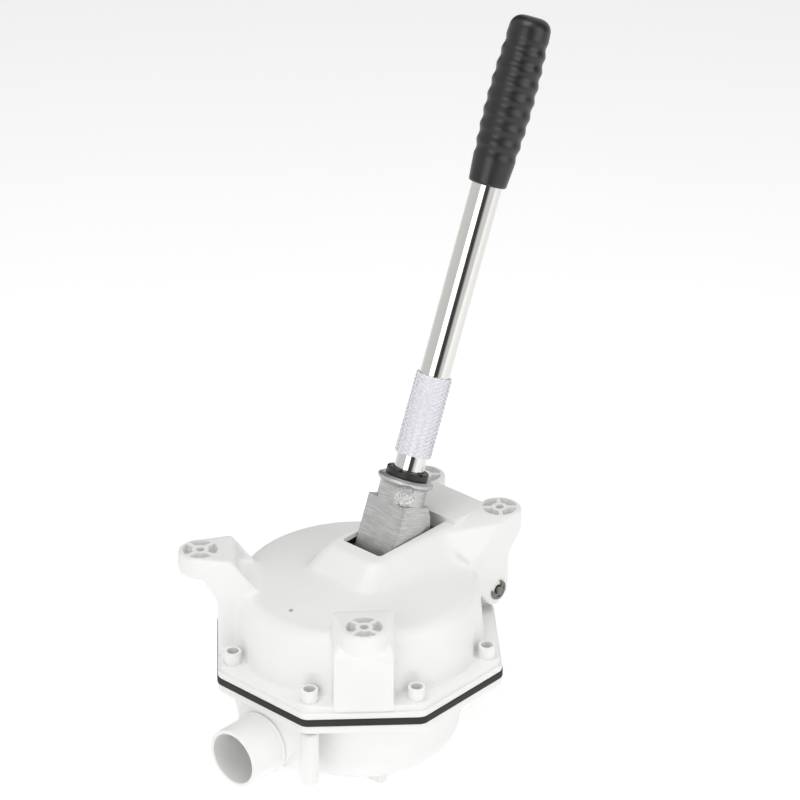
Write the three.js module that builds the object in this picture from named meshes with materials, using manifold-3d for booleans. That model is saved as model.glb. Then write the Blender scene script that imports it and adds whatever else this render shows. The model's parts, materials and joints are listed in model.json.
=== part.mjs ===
// Manual diaphragm bilge pump with a removable handle, in millimetres, +Z up.
// X runs along the hose line (inlet at -X, outlet at +X), and the handle swings in the XZ plane.
// Every height below is measured from the joint between the two housings, and the whole pump is
// lifted onto its feet at the end, so that the origin is the middle of the foot ribs.
import * as THREE from "three";
import { ConvexGeometry } from "three/addons/geometries/ConvexGeometry.js";
import { mergeVertices } from "three/addons/utils/BufferGeometryUtils.js";
import Module from "manifold-3d";

const wasm = await Module();
wasm.setup();

// ---- driving dimensions ----
const GAP = 0.3; // running clearance between neighbours
const WALL = 3; // moulded wall

const OCTAGON = 176; // across the flats of the clamped rim
const OCTAGON_ROUND = 7;
const RIM = 4.6; // thickness of the diaphragm's rim
const RIM_PROUD = 0.5; // how far the rubber stands out of the joint
const FLANGE_TOP = 13;
const FLANGE_STEP = 8.6;
const LOWER_FLANGE = 5.3;

const SCREW_CIRCLE = 85; // radius through the eight flange screws
const SCREW_BOSS_R = 5.3;
const SCREW_BOSS_TOP = 21.2;
const SCREW_R = 2;
const SCREW_HOLE_R = 2.4;
const SCREW_SEAT = 10; // floor of the boss's counterbore
const SCREW_HEAD_R = 3.3;
const NUT = { r: 4.5, thick: 3.2 };

const BODY_FOOT_R = 80; // upper housing wall at the flange
const BODY_R = 76; // and at the shoulder
const SHOULDER_Z = 44;
const DOME_Z = 60;

const HOOD_TOP = 72;
const SLOT = { x0: 2.7, x1: 63.4, half: 16.3 };
const REAR_HALF = 24; // half width of the plate between the rear ears
const SHROUD_Z = 64.5; // foot of the wall that hangs behind the slot
const VENT = { x: -60, r: 1.5 };

const EAR_TOP = 75; // the plane that bolts up under the deck
const EAR_R = 14;
const EAR_BOLT_R = 2.6;
const POCKET = 6; // depth of the blind pockets in an ear
const EAR_BOTTOM = 60.5;
const ARM_RADIUS = 97.3; // front ears, measured along the diagonal
const ARM_HALF = 18.4;
const ARM_FACE = 87.5; // outer wall under the ear
const ARM_KNEE_Z = 48; // height at which the ear starts to lean out
const REAR_EAR = { x: 97.3, y: 32.1 };

const PIVOT = { x: 80.5, z: 27 };
const PIN_R = 5;
const PIN_HALF = 49;
const BUSH_R = PIN_R + 2.2;
const LUG = { inner: 34, outer: 46 };

const HANDLE_LEAN = THREE.MathUtils.degToRad(22.64);
const HANDLE_FOOT = { x: 42.32, z: 100 }; // point on the handle's axis from which its lengths run
const TUBE_R = 9.5;
const BLOCK = { x: 13.5, y: 15.2 }; // half sizes of the lever block
const BLOCK_TOP = -9; // its shoulder, along the handle
const BLOCK_LONG = 47;
const SOCKET = { r: 11.5, deep: 32 }; // bore that takes the handle's bush
const EYE = { r: 8.5, half: 30.5 };
const WEB_HALF = 7;

const ROD_PIN_Z = 36; // pin that joins lever and diaphragm
const ROD_PIN_R = 4;
const PIN_PLAY = 1.6; // room round the pin in the tongue's slot
const PLATE_R = 40;
const BOLT_R = 4;

const BOWL_R = 66;
const BOWL_DEPTH = 62;
const FOOT = 72; // depth of the foot ribs below the joint
const RIB = 3.2; // half the thickness of a foot rib
const FRONT_RIB = { x: -21, half: 41.5 };
const REAR_RIB = { x: 45, half: 24 };

const PORT_Z = -27;
const PORT_END = 113;
const COLLAR_R = 21.3;
const PORT_R = 19; // takes a hose of 38 mm bore
const PORT_WALL = 2.6;
const PORT_ROOT = 59; // where the spigot ends inside the bowl
const SOCKET_FACE = 84; // and where its shoulder seats on the bowl's socket
const BRACE_X = 80; // front of the flat plate that braces each socket
const COLUMN = { x: 78, y: -31.6, r: 5.8, top: -9.8, z: -47 }; // the column on one edge of it
const INNER_END = 40; // where the sockets run out inside the bowl
const NUT_ROOM_R = 6;

// ---- solids ----
// A geometry as a solid, with its faces turned outwards.
function toSolid(geometry) {
  const bare = geometry.clone();
  bare.deleteAttribute("normal");
  bare.deleteAttribute("uv");
  const merged = mergeVertices(bare, 1e-4);
  const triVerts = new Uint32Array(merged.index.array);
  const vertProperties = merged.attributes.position.array;
  const make = () => new wasm.Manifold(new wasm.Mesh({ numProp: 3, vertProperties, triVerts }));
  const solid = make();
  if (solid.volume() > 0) return solid;
  for (let i = 0; i < triVerts.length; i += 3) {
    [triVerts[i + 1], triVerts[i + 2]] = [triVerts[i + 2], triVerts[i + 1]];
  }
  return make();
}

function toGeometry(solid) {
  const mesh = solid.getMesh();
  const geometry = new THREE.BufferGeometry();
  geometry.setAttribute("position", new THREE.BufferAttribute(mesh.vertProperties, 3));
  geometry.setIndex(new THREE.BufferAttribute(mesh.triVerts, 1));
  geometry.computeVertexNormals();
  return geometry;
}

const join = (...solids) => solids.reduce((a, b) => a.add(b));
const cut = (body, ...tools) => tools.reduce((a, b) => a.subtract(b), body);
const placed = (geometry, matrix) => toSolid(geometry.clone().applyMatrix4(matrix));

function box(x0, x1, y0, y1, z0, z1) {
  const geometry = new THREE.BoxGeometry(x1 - x0, y1 - y0, z1 - z0);
  return toSolid(geometry.translate((x0 + x1) / 2, (y0 + y1) / 2, (z0 + z1) / 2));
}

// Round bar from one height to another, standing at x, y.
function post(r, z0, z1, x = 0, y = 0, sides = 16, topR = r) {
  const geometry = new THREE.CylinderGeometry(topR, r, z1 - z0, sides);
  return toSolid(geometry.rotateX(Math.PI / 2).translate(x, y, (z0 + z1) / 2));
}

// Round bar along Y, through the point x, z.
function axle(r, y0, y1, x, z, sides = 20) {
  const geometry = new THREE.CylinderGeometry(r, r, y1 - y0, sides);
  return toSolid(geometry.translate(x, (y0 + y1) / 2, z));
}

// Round bar along X, through the point y, z.
function rod(r, x0, x1, y, z, sides = 24) {
  const geometry = new THREE.CylinderGeometry(r, r, x1 - x0, sides);
  return toSolid(geometry.rotateZ(Math.PI / 2).translate((x0 + x1) / 2, y, z));
}

// Turned piece: the outline is [radius, height] pairs, about Z.
function turned(outline, sides = 24) {
  const points = outline.map(([r, z]) => new THREE.Vector2(r, z));
  return new THREE.LatheGeometry(points, sides).rotateX(Math.PI / 2);
}

// Closed ring outline with square corners.
const ringOutline = (r0, r1, z0, z1) => [[r0, z0], [r1, z0], [r1, z1], [r0, z1], [r0, z0]];

// The span from a to b on one side of the centre, lower end first.
const spanOn = (side, a, b) => (side > 0 ? [a, b] : [-b, -a]);

function hull(points) {
  return toSolid(new ConvexGeometry(points.map((p) => new THREE.Vector3(...p))));
}

// Plate with an outline in the XZ plane, from y0 to y1.
function plateXZ(outline, y0, y1) {
  const shape = new THREE.Shape(outline.map(([x, z]) => new THREE.Vector2(x, z)));
  const geometry = new THREE.ExtrudeGeometry(shape, { depth: y1 - y0, bevelEnabled: false });
  return toSolid(geometry.rotateX(Math.PI / 2).translate(0, y1, 0));
}

function arc(cx, cz, r, fromDeg, toDeg, steps) {
  return Array.from({ length: steps + 1 }, (_, i) => {
    const a = THREE.MathUtils.degToRad(fromDeg + ((toDeg - fromDeg) * i) / steps);
    return [cx + r * Math.cos(a), cz + r * Math.sin(a)];
  });
}

function octagonShape(acrossFlats, round) {
  const shape = new THREE.Shape();
  const cornerR = acrossFlats / 2 / Math.cos(Math.PI / 8);
  const back = round * Math.tan(Math.PI / 8);
  for (let i = 0; i < 8; i += 1) {
    const a = ((i + 0.5) * Math.PI) / 4;
    const corner = new THREE.Vector2(cornerR * Math.cos(a), cornerR * Math.sin(a));
    const along = new THREE.Vector2(-Math.sin(a), Math.cos(a));
    const inward = new THREE.Vector2(-Math.cos(a), -Math.sin(a));
    const lean = Math.PI / 8;
    const leg = (side) =>
      corner
        .clone()
        .addScaledVector(along, side * back * Math.cos(lean))
        .addScaledVector(inward, back * Math.sin(lean));
    const start = leg(-1);
    const end = leg(1);
    if (i === 0) shape.moveTo(start.x, start.y);
    else shape.lineTo(start.x, start.y);
    shape.quadraticCurveTo(corner.x, corner.y, end.x, end.y);
  }
  shape.closePath();
  return shape;
}

function octagon(acrossFlats, z0, z1) {
  const options = { depth: z1 - z0, bevelEnabled: false, curveSegments: 3 };
  return toSolid(
    new THREE.ExtrudeGeometry(octagonShape(acrossFlats, OCTAGON_ROUND), options).translate(0, 0, z0),
  );
}

// The eight flange screws stand on the octagon's corners.
const screwPlaces = Array.from({ length: 8 }, (_, i) => {
  const a = ((i + 0.5) * Math.PI) / 4;
  return [SCREW_CIRCLE * Math.cos(a), SCREW_CIRCLE * Math.sin(a)];
});

// ---- upper housing ----
function bodyOutline(inset, z0) {
  const shoulder = arc(BODY_R - 10 - inset, SHOULDER_Z - inset, 10, 0, 72, 3);
  const dome = [50, 25, 0].map((r) => [r, DOME_Z - inset - ((DOME_Z - 54) * r * r) / 4400]);
  return [[0, z0], [BODY_FOOT_R - inset, z0], ...shoulder, ...dome];
}

// The hood over the lever: outlines stacked from the dome up to the slotted top, wider at the rear.
function hood(inset, z0) {
  const levels = [
    { z: z0, x: -33, half: 33, rear: 45, round: 14 },
    { z: 58, x: -24, half: 28, rear: 36, round: 12 },
    { z: 68, x: -12, half: 24, rear: 27, round: 10 },
    { z: HOOD_TOP - 0.6, x: -7, half: 21.5, rear: 23, round: 8 },
    { z: HOOD_TOP, x: -5, half: 20, rear: 21.5, round: 8 },
  ];
  const points = levels.flatMap(({ z, x, half, rear, round }) => {
    const near = x + inset;
    const side = half - inset;
    const corner = arc(near + round, side - round, round, 90, 180, 3);
    const outline = [[90 - inset, rear - inset], ...corner];
    return outline.flatMap(([px, py]) => [[px, py, z - inset], [px, -py, z - inset]]);
  });
  return hull(points);
}

// The closed end of the hood round the pivot.
function rearBox(inset) {
  const x0 = 48;
  const x1 = 94 - inset;
  const foot = 36 - inset;
  const top = REAR_HALF - inset;
  const points = [-1, 1].flatMap((side) => [
    [x0, side * foot, 6 + inset],
    [x1 - 4, side * foot, 6 + inset],
    [x1, side * foot, 30],
    [x1, side * foot, 38],
    [x0, side * foot, 38],
    [x0, side * top, HOOD_TOP - 2 - inset],
    [x1, side * top, HOOD_TOP - 2 - inset],
  ]);
  return hull(points);
}

// Front mounting arm in its own radial frame: u outwards, w sideways.
function frontArm(turn) {
  const both = (list) => list.flatMap(([u, w, z]) => [[u, w, z], [u, -w, z]]);
  const column = hull(
    both([
      [64, ARM_HALF, FLANGE_STEP],
      [ARM_FACE, ARM_HALF, FLANGE_STEP],
      [ARM_FACE, ARM_HALF, ARM_KNEE_Z],
      [78, ARM_HALF, EAR_TOP],
      [58.3, ARM_HALF, 49.6],
    ]),
  );
  const gusset = hull(
    both([
      [78, ARM_HALF, EAR_TOP],
      [ARM_RADIUS, EAR_R - 0.3, EAR_TOP],
      [ARM_RADIUS + 0.7, EAR_R - 0.5, 62.8],
      [ARM_FACE, ARM_HALF, ARM_KNEE_Z],
      [76, ARM_HALF, ARM_KNEE_Z],
    ]),
  );
  const boss = post(EAR_R, EAR_BOTTOM, EAR_TOP, ARM_RADIUS, 0, 24);
  const inner = ARM_HALF - WALL;
  const channel = box(50, 75.5, -inner, inner, 57, EAR_TOP + 15);
  const arm = cut(join(column, gusset, boss), channel);
  return arm.rotate([0, 0, turn]);
}

// Four blind pockets and a bolt hole in the top of an ear.
function earPockets(x, y, turn) {
  const ring = cut(post(EAR_R - 3.1, 0, 8, 0, 0, 20), post(5.2, -1, 9, 0, 0, 12));
  const webs = [box(-12, 12, -1.3, 1.3, -1, 9), box(-1.3, 1.3, -12, 12, -1, 9)];
  const pockets = cut(ring, ...webs).rotate([0, 0, turn]).translate([x, y, EAR_TOP - POCKET]);
  return join(pockets, post(EAR_BOLT_R, EAR_BOTTOM - 5, EAR_TOP + 5, x, y, 10));
}

function rearEar(side) {
  const boss = post(EAR_R, EAR_BOTTOM, EAR_TOP, REAR_EAR.x, side * REAR_EAR.y, 24);
  const lugOutline = [
    ...arc(PIVOT.x, PIVOT.z, 11, 200, 345, 6),
    [91.5, 48],
    [91.5, 62],
    [88, 73],
    [83.5, 73.5],
    [55, 57],
    [55, 40],
    [64, 30],
  ];
  const lug = plateXZ(lugOutline, ...spanOn(side, LUG.inner - 2, LUG.outer));
  const near = side * 20;
  const far = side * LUG.outer;
  const gusset = hull([
    [84, far, 47],
    [91.5, far, 48],
    [103, far, EAR_BOTTOM + 1],
    [103, far, EAR_TOP],
    [83.5, far, 73.5],
    [55, far, 57],
    [58, far, 46],
    [84, near, 47],
    [91.5, near, 48],
    [100, near, EAR_BOTTOM + 1],
    [100, near, EAR_TOP],
    [76, near, EAR_TOP],
    [50, near, HOOD_TOP - 2],
  ]);
  return join(boss, lug, gusset);
}

function upperHousing() {
  const flange = join(
    octagon(OCTAGON, RIM, FLANGE_STEP),
    octagon(OCTAGON - 3, FLANGE_STEP - 0.1, FLANGE_TOP),
  );
  const shell = toSolid(turned(bodyOutline(0, RIM), 36));
  const rearPlate = box(SLOT.x1 - 3, 95, -REAR_HALF, REAR_HALF, HOOD_TOP - 1, EAR_TOP);
  const bosses = screwPlaces.map(([x, y]) =>
    post(SCREW_BOSS_R, FLANGE_TOP - 1, SCREW_BOSS_TOP, x, y, 12),
  );
  const shroud = box(SLOT.x1, SLOT.x1 + WALL, -SLOT.half - 1, SLOT.half + 1, SHROUD_Z, HOOD_TOP - 1);
  let body = join(flange, shell, hood(0, 46), rearBox(0), rearPlate);
  body = join(body, frontArm(135), frontArm(-135), rearEar(1), rearEar(-1));
  const scallops = screwPlaces.map(([x, y]) => post(8.6, FLANGE_TOP, 27, x, y, 12));
  body = cut(body, ...scallops);
  body = join(body, ...bosses);
  const cavity = join(
    toSolid(turned(bodyOutline(WALL, RIM - 1), 36)),
    hood(WALL, 46),
    rearBox(WALL + 0.5),
  );
  const slot = box(SLOT.x0, SLOT.x1, -SLOT.half, SLOT.half, HOOD_TOP - 8, EAR_TOP + 5);
  const slotRear = box(SLOT.x1 - 12, SLOT.x1, -REAR_HALF, REAR_HALF, HOOD_TOP, EAR_TOP + 1);
  const holes = screwPlaces.map(([x, y]) => post(SCREW_HOLE_R, RIM - 1, SCREW_SEAT + 1, x, y, 8));
  const mouths = screwPlaces.map(([x, y]) =>
    post(SCREW_HEAD_R + 0.4, SCREW_SEAT, SCREW_BOSS_TOP + 1, x, y, 10),
  );
  const frontEar = ARM_RADIUS * Math.SQRT1_2;
  const pockets = [-1, 1].flatMap((side) => [
    earPockets(-frontEar, side * frontEar, 0),
    earPockets(REAR_EAR.x, side * REAR_EAR.y, 45),
  ]);
  const pinBore = axle(BUSH_R + GAP, -LUG.outer - 1, LUG.outer + 1, PIVOT.x, PIVOT.z);
  const vent = post(VENT.r, 40, 70, VENT.x, 0, 8);
  body = join(cut(body, cavity), shroud);
  return cut(body, slot, slotRear, ...holes, ...mouths, ...pockets, pinBore, vent);
}

// ---- lower housing ----
function bowlOutline(inset, z0) {
  const round = 20 - inset;
  const bend = arc(BOWL_R - 21, -BOWL_DEPTH + 20, round, -8, -90, 5);
  return [[0, z0], [BOWL_R - inset, z0], ...bend, [0, -BOWL_DEPTH + inset]];
}

// Socket of one hose spigot: a round tunnel that is squared up to the flange, with a stepped foot
// on a flat bracing plate, which ends in a round column on one side and tapers on the other.
function socket(side) {
  const top = -LOWER_FLANGE + 1;
  const braceOutline = [
    [COLUMN.y, top],
    [COLUMN.y, -45],
    [10, -45],
    [22.5, -38],
    [27, PORT_Z],
    [33, COLUMN.top],
    [33, top],
  ];
  const braceSpan = spanOn(side, BRACE_X - WALL, BRACE_X);
  const brace = hull(braceOutline.flatMap(([y, z]) => braceSpan.map((x) => [x, y, z])));
  const tunnelSpan = spanOn(side, INNER_END, SOCKET_FACE);
  return join(
    brace,
    rod(COLLAR_R, ...tunnelSpan, 0, PORT_Z),
    box(...tunnelSpan, -COLLAR_R, COLLAR_R, PORT_Z, top),
    rod(COLLAR_R + 2.2, ...spanOn(side, BRACE_X - 1, BRACE_X + 1.3), 0, PORT_Z),
    post(COLUMN.r, COLUMN.z, COLUMN.top, side * COLUMN.x, COLUMN.y, 14),
  );
}

function lowerHousing() {
  const flange = octagon(OCTAGON, -LOWER_FLANGE, 0);
  const bowl = toSolid(turned(bowlOutline(0, -LOWER_FLANGE + 1), 36));
  const nutRooms = screwPlaces.map(([x, y]) =>
    post(NUT_ROOM_R, COLUMN.top, -LOWER_FLANGE, x, y, 12),
  );
  const ribs = [
    ...[FRONT_RIB, REAR_RIB].map(({ x, half }) =>
      box(x - RIB, x + RIB, -half, half, -FOOT, -BOWL_DEPTH + 5),
    ),
    box(FRONT_RIB.x, REAR_RIB.x, -RIB, RIB, -FOOT, -BOWL_DEPTH + 2),
  ];
  const body = join(cut(join(socket(-1), socket(1)), ...nutRooms), flange, bowl, ...ribs);
  const cavity = toSolid(turned(bowlOutline(WALL, 1), 36));
  const bores = [-1, 1].map((side) =>
    rod(PORT_R + GAP, ...spanOn(side, INNER_END, SOCKET_FACE + 1), 0, PORT_Z),
  );
  const holes = screwPlaces.map(([x, y]) => post(SCREW_HOLE_R, -LOWER_FLANGE - 1, 1, x, y, 8));
  return cut(body, cavity, ...bores, ...holes);
}

// ---- hose spigots and their flap valves ----
// Drawn for the +X side and turned round for the inlet.
function spigot(side) {
  const bore = PORT_R - PORT_WALL;
  const outline = [
    [bore, PORT_ROOT],
    [PORT_R, PORT_ROOT],
    [PORT_R, SOCKET_FACE + GAP],
    [PORT_R + 1, SOCKET_FACE + GAP],
    [PORT_R + 1, SOCKET_FACE + 3],
    [PORT_R, SOCKET_FACE + 3],
    [PORT_R, PORT_END],
    [bore, PORT_END],
    [bore, PORT_ROOT],
  ];
  const tube = turned(outline, 28).rotateY(Math.PI / 2).translate(0, 0, PORT_Z);
  return side > 0 ? tube : tube.rotateZ(Math.PI);
}

const SEAT = { r: PORT_R - PORT_WALL - GAP, hole: 11.5, thick: 3 };
const FLAP = { r: 13.2, thick: 2.2, drop: 1.2 };
const FLAP_HINGE = { forward: 1.7, z: PORT_Z + 13, pinR: 1, knuckleR: 2.1 };
const hingeRod = (r, half, at) => axle(r, -half, half, at + FLAP_HINGE.forward, FLAP_HINGE.z, 12);
const flapPinBore = (at) => hingeRod(FLAP_HINGE.pinR + GAP, 8, at);

// Frame that carries one flap. Its flow side looks along +X, and at is the x of its seat face.
function valveSeat(at) {
  const ring = cut(
    rod(SEAT.r, at - SEAT.thick, at, 0, PORT_Z),
    rod(SEAT.hole, at - SEAT.thick - 1, at + 1, 0, PORT_Z),
  );
  const ears = [-1, 1].map((side) => {
    const y = side * 4.4;
    const ear = box(at - 1, at + 3.4, y - 0.9, y + 0.9, PORT_Z + 9.8, PORT_Z + 15.2);
    return cut(ear, flapPinBore(at));
  });
  return join(ring, ...ears);
}

// Round flap cut straight across under its hinge, with a knuckle that rolls over the pin.
function flap(at) {
  const near = at + GAP;
  const far = near + FLAP.thick;
  const disc = rod(FLAP.r, near, far, 0, PORT_Z - FLAP.drop);
  const belowHinge = box(near - 1, far + 1, -FLAP.r, FLAP.r, PORT_Z - FLAP.r - 2, PORT_Z + 9);
  const tab = box(near, far, -3, 3, PORT_Z + 4, FLAP_HINGE.z - 0.4);
  const knuckle = axle(FLAP_HINGE.knuckleR, -3, 3, at + 2.5, FLAP_HINGE.z, 12);
  const seatSide = box(near - 3, near, -4, 4, PORT_Z, PORT_Z + 20);
  return join(disc.intersect(belowHinge), cut(join(tab, knuckle), flapPinBore(at), seatSide));
}

const flapPin = (at) => hingeRod(FLAP_HINGE.pinR, 5.6, at);

// ---- diaphragm ----
const DISC = { z0: 6.7, z1: 9.5 };
const PLATE_TOP = DISC.z1 + 4.5;
const WASHER_THICK = 1.5;

const boltHole = () => post(BOLT_R + 0.4, 0, 20, 0, 0, 16);

// One rolled sheet of rubber: a flat rim in the joint, a rolled wall and a disc between the plates.
function diaphragm() {
  const roll = [
    [72, 0],
    [72, RIM],
    [66, RIM],
    [62, 8],
    [57, 13],
    [51, 14],
    [46, 10.5],
    [42, DISC.z1],
    [0, DISC.z1],
    [0, DISC.z0],
    [43, DISC.z0],
    [47.5, 8],
    [51.5, 11],
    [56, 10.3],
    [60, 6],
    [65.5, 0],
    [72, 0],
  ];
  const sheet = toSolid(turned(roll, 32));
  const rim = cut(octagon(OCTAGON + 2 * RIM_PROUD, 0, RIM), post(71, -1, RIM + 1, 0, 0, 32));
  const holes = screwPlaces.map(([x, y]) => post(SCREW_HOLE_R, -1, RIM + 1, x, y, 8));
  return cut(join(sheet, rim), ...holes, boltHole());
}

function topPlate() {
  const disc = post(PLATE_R, DISC.z1, PLATE_TOP, 0, 0, 32, PLATE_R - 2);
  const cheeks = [-1, 1].map((side) => {
    const outline = [
      [-12, DISC.z1 + 3],
      [12, DISC.z1 + 3],
      ...arc(0, ROD_PIN_Z, 8, 0, 180, 8),
    ];
    return plateXZ(outline, ...spanOn(side, 8, 13));
  });
  const bore = axle(ROD_PIN_R + GAP, -20, 20, 0, ROD_PIN_Z, 20);
  return cut(join(disc, ...cheeks), bore, boltHole());
}

const bottomPlate = () =>
  cut(
    post(PLATE_R - 4, DISC.z0 - 4, DISC.z0, 0, 0, 32, PLATE_R - 2),
    boltHole(),
  );

const boltOutline = [
  [0, DISC.z0 - 8],
  [8, DISC.z0 - 8],
  [8.5, DISC.z0 - 4],
  [BOLT_R, DISC.z0 - 4],
  [BOLT_R, 22],
  [0, 22],
];

function nut() {
  const base = PLATE_TOP + WASHER_THICK + 0.1;
  return cut(post(7, base, base + 5, 0, 0, 6), post(BOLT_R + GAP, 0, 40, 0, 0, 16));
}

const washerOutline = ringOutline(BOLT_R + GAP, 7.6, PLATE_TOP, PLATE_TOP + WASHER_THICK);

const rodPinOutline = [
  [0, -15.5],
  [6, -15.5],
  [6, -13.3],
  [ROD_PIN_R, -13.3],
  [ROD_PIN_R, 13.6],
  [3.1, 13.6],
  [3.1, 14.8],
  [ROD_PIN_R, 14.8],
  [ROD_PIN_R, 16],
  [0, 16],
];

// ---- lever ----
const axisPoint = (s) => [
  HANDLE_FOOT.x + s * Math.sin(HANDLE_LEAN),
  HANDLE_FOOT.z + s * Math.cos(HANDLE_LEAN),
];
const handleFrame = new THREE.Matrix4()
  .makeTranslation(HANDLE_FOOT.x, 0, HANDLE_FOOT.z)
  .multiply(new THREE.Matrix4().makeRotationY(HANDLE_LEAN));

const neckOutline = [
  [0, -14],
  [15.1, -14],
  [15.1, 1],
  [17.7, 3.4],
  [17.7, 5.2],
  [15.9, 6.4],
  [0, 6.4],
];

// The handle socket, the block in the slot, the pivot eye and the slotted tongue are one casting.
// The neck is trimmed flush with two faces of the block, and a heel upright behind the block
// leads its load down to the pivot.
function leverCasting() {
  const alongHandle = (geometry) => placed(geometry, handleFrame);
  const neckBody = toSolid(turned(neckOutline, 24));
  const besideFlats = (side) => box(...spanOn(side, BLOCK.x, 20), -20, 20, -15, 1);
  const neckShape = cut(neckBody, besideFlats(-1), besideFlats(1));
  const neck = alongHandle(toGeometry(neckShape));
  const heel = plateXZ(
    [
      [46, 84],
      [50.2, 83.7],
      [51.6, 80],
      [52.2, 62],
      [40, 58],
    ],
    1 - BLOCK.y,
    BLOCK.y - 1,
  );
  const blockShape = new THREE.BoxGeometry(2 * BLOCK.x, 2 * BLOCK.y, BLOCK_LONG);
  const block = alongHandle(blockShape.translate(0, 0, BLOCK_TOP - BLOCK_LONG / 2));
  const eye = axle(EYE.r, -EYE.half, EYE.half, PIVOT.x, PIVOT.z, 20);
  const [hipX, hipZ] = axisPoint(-34);
  const web = plateXZ(
    [
      [PIVOT.x - 7, PIVOT.z - 8],
      [PIVOT.x + 3, PIVOT.z - 10],
      [PIVOT.x + 8.5, PIVOT.z + 3],
      [hipX + 13, hipZ + 3],
      [hipX - 12, hipZ - 4],
      [8, 46],
      [-12, 44],
      [-14, 40],
      [-14, 32],
      [-11, 29.5],
      [40, 29.5],
    ],
    -WEB_HALF,
    WEB_HALF,
  );
  const slotEnds = [-4.5, -1, 0.5];
  const slotR = ROD_PIN_R + PIN_PLAY;
  const tongueSlot = join(...slotEnds.map((x) => axle(slotR, -10, 10, x, ROD_PIN_Z)));
  const socketOutline = [[0, -SOCKET.deep], [SOCKET.r, -SOCKET.deep], [SOCKET.r, 12], [0, 12]];
  const socket = alongHandle(turned(socketOutline, 20));
  const pinBore = axle(PIN_R + GAP, -40, 40, PIVOT.x, PIVOT.z);
  return cut(join(neck, block, heel, eye, web), tongueSlot, socket, pinBore);
}

// ---- pivot ----
const STUB_R = 3.5; // slim end of the pin, with the clip's groove
const GROOVE = { r: 2.6, y0: 46.9, y1: 48.3 };
const pinEnd = [
  [PIN_R, LUG.outer + 0.3],
  [STUB_R, LUG.outer + 0.3],
  [STUB_R, GROOVE.y0],
  [GROOVE.r, GROOVE.y0],
  [GROOVE.r, GROOVE.y1],
  [STUB_R, GROOVE.y1],
  [STUB_R, PIN_HALF],
  [0, PIN_HALF],
];
const pivotPinOutline = [...pinEnd.map(([r, y]) => [r, -y]).reverse(), ...pinEnd];

function bush(side) {
  const outline = ringOutline(PIN_R + 0.15, BUSH_R, LUG.inner - 0.5, LUG.outer);
  const ring = turned(outline, 20).rotateX(-Math.PI / 2).translate(PIVOT.x, 0, PIVOT.z);
  return side > 0 ? ring : ring.rotateX(Math.PI).translate(0, 0, 2 * PIVOT.z);
}

// Sprung retaining ring, open to one side, seated in the groove of a pin that lies along Y.
function eClip(boreR, outerR, thick, openDeg) {
  const half = THREE.MathUtils.degToRad(38);
  const shape = new THREE.Shape();
  shape.absarc(0, 0, outerR, half, 2 * Math.PI - half, false);
  shape.absarc(0, 0, boreR, 2 * Math.PI - half * 1.25, half * 1.25, true);
  shape.closePath();
  const options = { depth: thick, bevelEnabled: false, curveSegments: 9 };
  return new THREE.ExtrudeGeometry(shape, options)
    .translate(0, 0, -thick / 2)
    .rotateZ(THREE.MathUtils.degToRad(openDeg))
    .rotateX(Math.PI / 2);
}

const pivotClip = (side) => {
  const y = (side * (GROOVE.y0 + GROOVE.y1)) / 2;
  return eClip(GROOVE.r + 0.2, 7, 1, 40).translate(PIVOT.x, y, PIVOT.z);
};

// ---- handle ----
const bushOutline = [
  [TUBE_R + GAP, -28],
  [11.2, -28],
  [11.2, 6.7],
  [13.4, 6.7],
  [13.4, 10.5],
  [12.8, 11.3],
  [TUBE_R + GAP, 11.3],
  [TUBE_R + GAP, -28],
];

const GRIP = { from: 195.6, to: 301.5, ribs: 8, pitch: 9.6, firstRib: 212, deep: 0.9 };

// Radius of the grip at a distance s along the handle: slim foot, full middle and eight soft rings.
function gripRadius(s) {
  const t = (s - GRIP.from) / (GRIP.to - GRIP.from);
  const swell = 11.9 + 2.5 * Math.sin(Math.PI * Math.min(1, t * 1.05)) + 0.9 * t;
  const inRibs = s > GRIP.firstRib && s < GRIP.firstRib + GRIP.ribs * GRIP.pitch;
  const wave = inRibs ? Math.cos((2 * Math.PI * (s - GRIP.firstRib)) / GRIP.pitch) - 1 : 0;
  return swell + (GRIP.deep * wave) / 2;
}

function gripOutline() {
  const steps = 25;
  const domeFrom = GRIP.to - 8;
  const outside = Array.from({ length: steps }, (_, i) => {
    const s = GRIP.from + 1 + ((domeFrom - GRIP.from - 1) * i) / (steps - 1);
    return [gripRadius(s), s];
  });
  const r = gripRadius(domeFrom);
  const dome = [25, 50, 72].map((deg) => {
    const a = THREE.MathUtils.degToRad(deg);
    return [r - 6 + 6 * Math.cos(a), domeFrom + 8 * Math.sin(a)];
  });
  const bore = TUBE_R + GAP;
  const top = GRIP.to - 5;
  return [
    [bore, GRIP.from],
    [gripRadius(GRIP.from) - 0.8, GRIP.from],
    ...outside,
    ...dome,
    [0, GRIP.to],
    [0, top],
    [bore, top],
    [bore, GRIP.from],
  ];
}

// ---- flange screws ----
// Each drops through the boss from above and its nut is drawn up under the lower flange.
function flangeScrew(x, y) {
  const tip = -LOWER_FLANGE - NUT.thick - 0.9;
  const outline = [
    [0, tip],
    [SCREW_R, tip],
    [SCREW_R, SCREW_SEAT],
    [SCREW_HEAD_R, SCREW_SEAT],
    [SCREW_HEAD_R, SCREW_SEAT + 4],
    [0, SCREW_SEAT + 4],
  ];
  return turned(outline, 10).translate(x, y, 0);
}

const flangeNut = (x, y) =>
  cut(
    post(NUT.r, -LOWER_FLANGE - NUT.thick, -LOWER_FLANGE, x, y, 6),
    post(SCREW_R + GAP, -LOWER_FLANGE - 5, 0, x, y, 10),
  );

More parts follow.
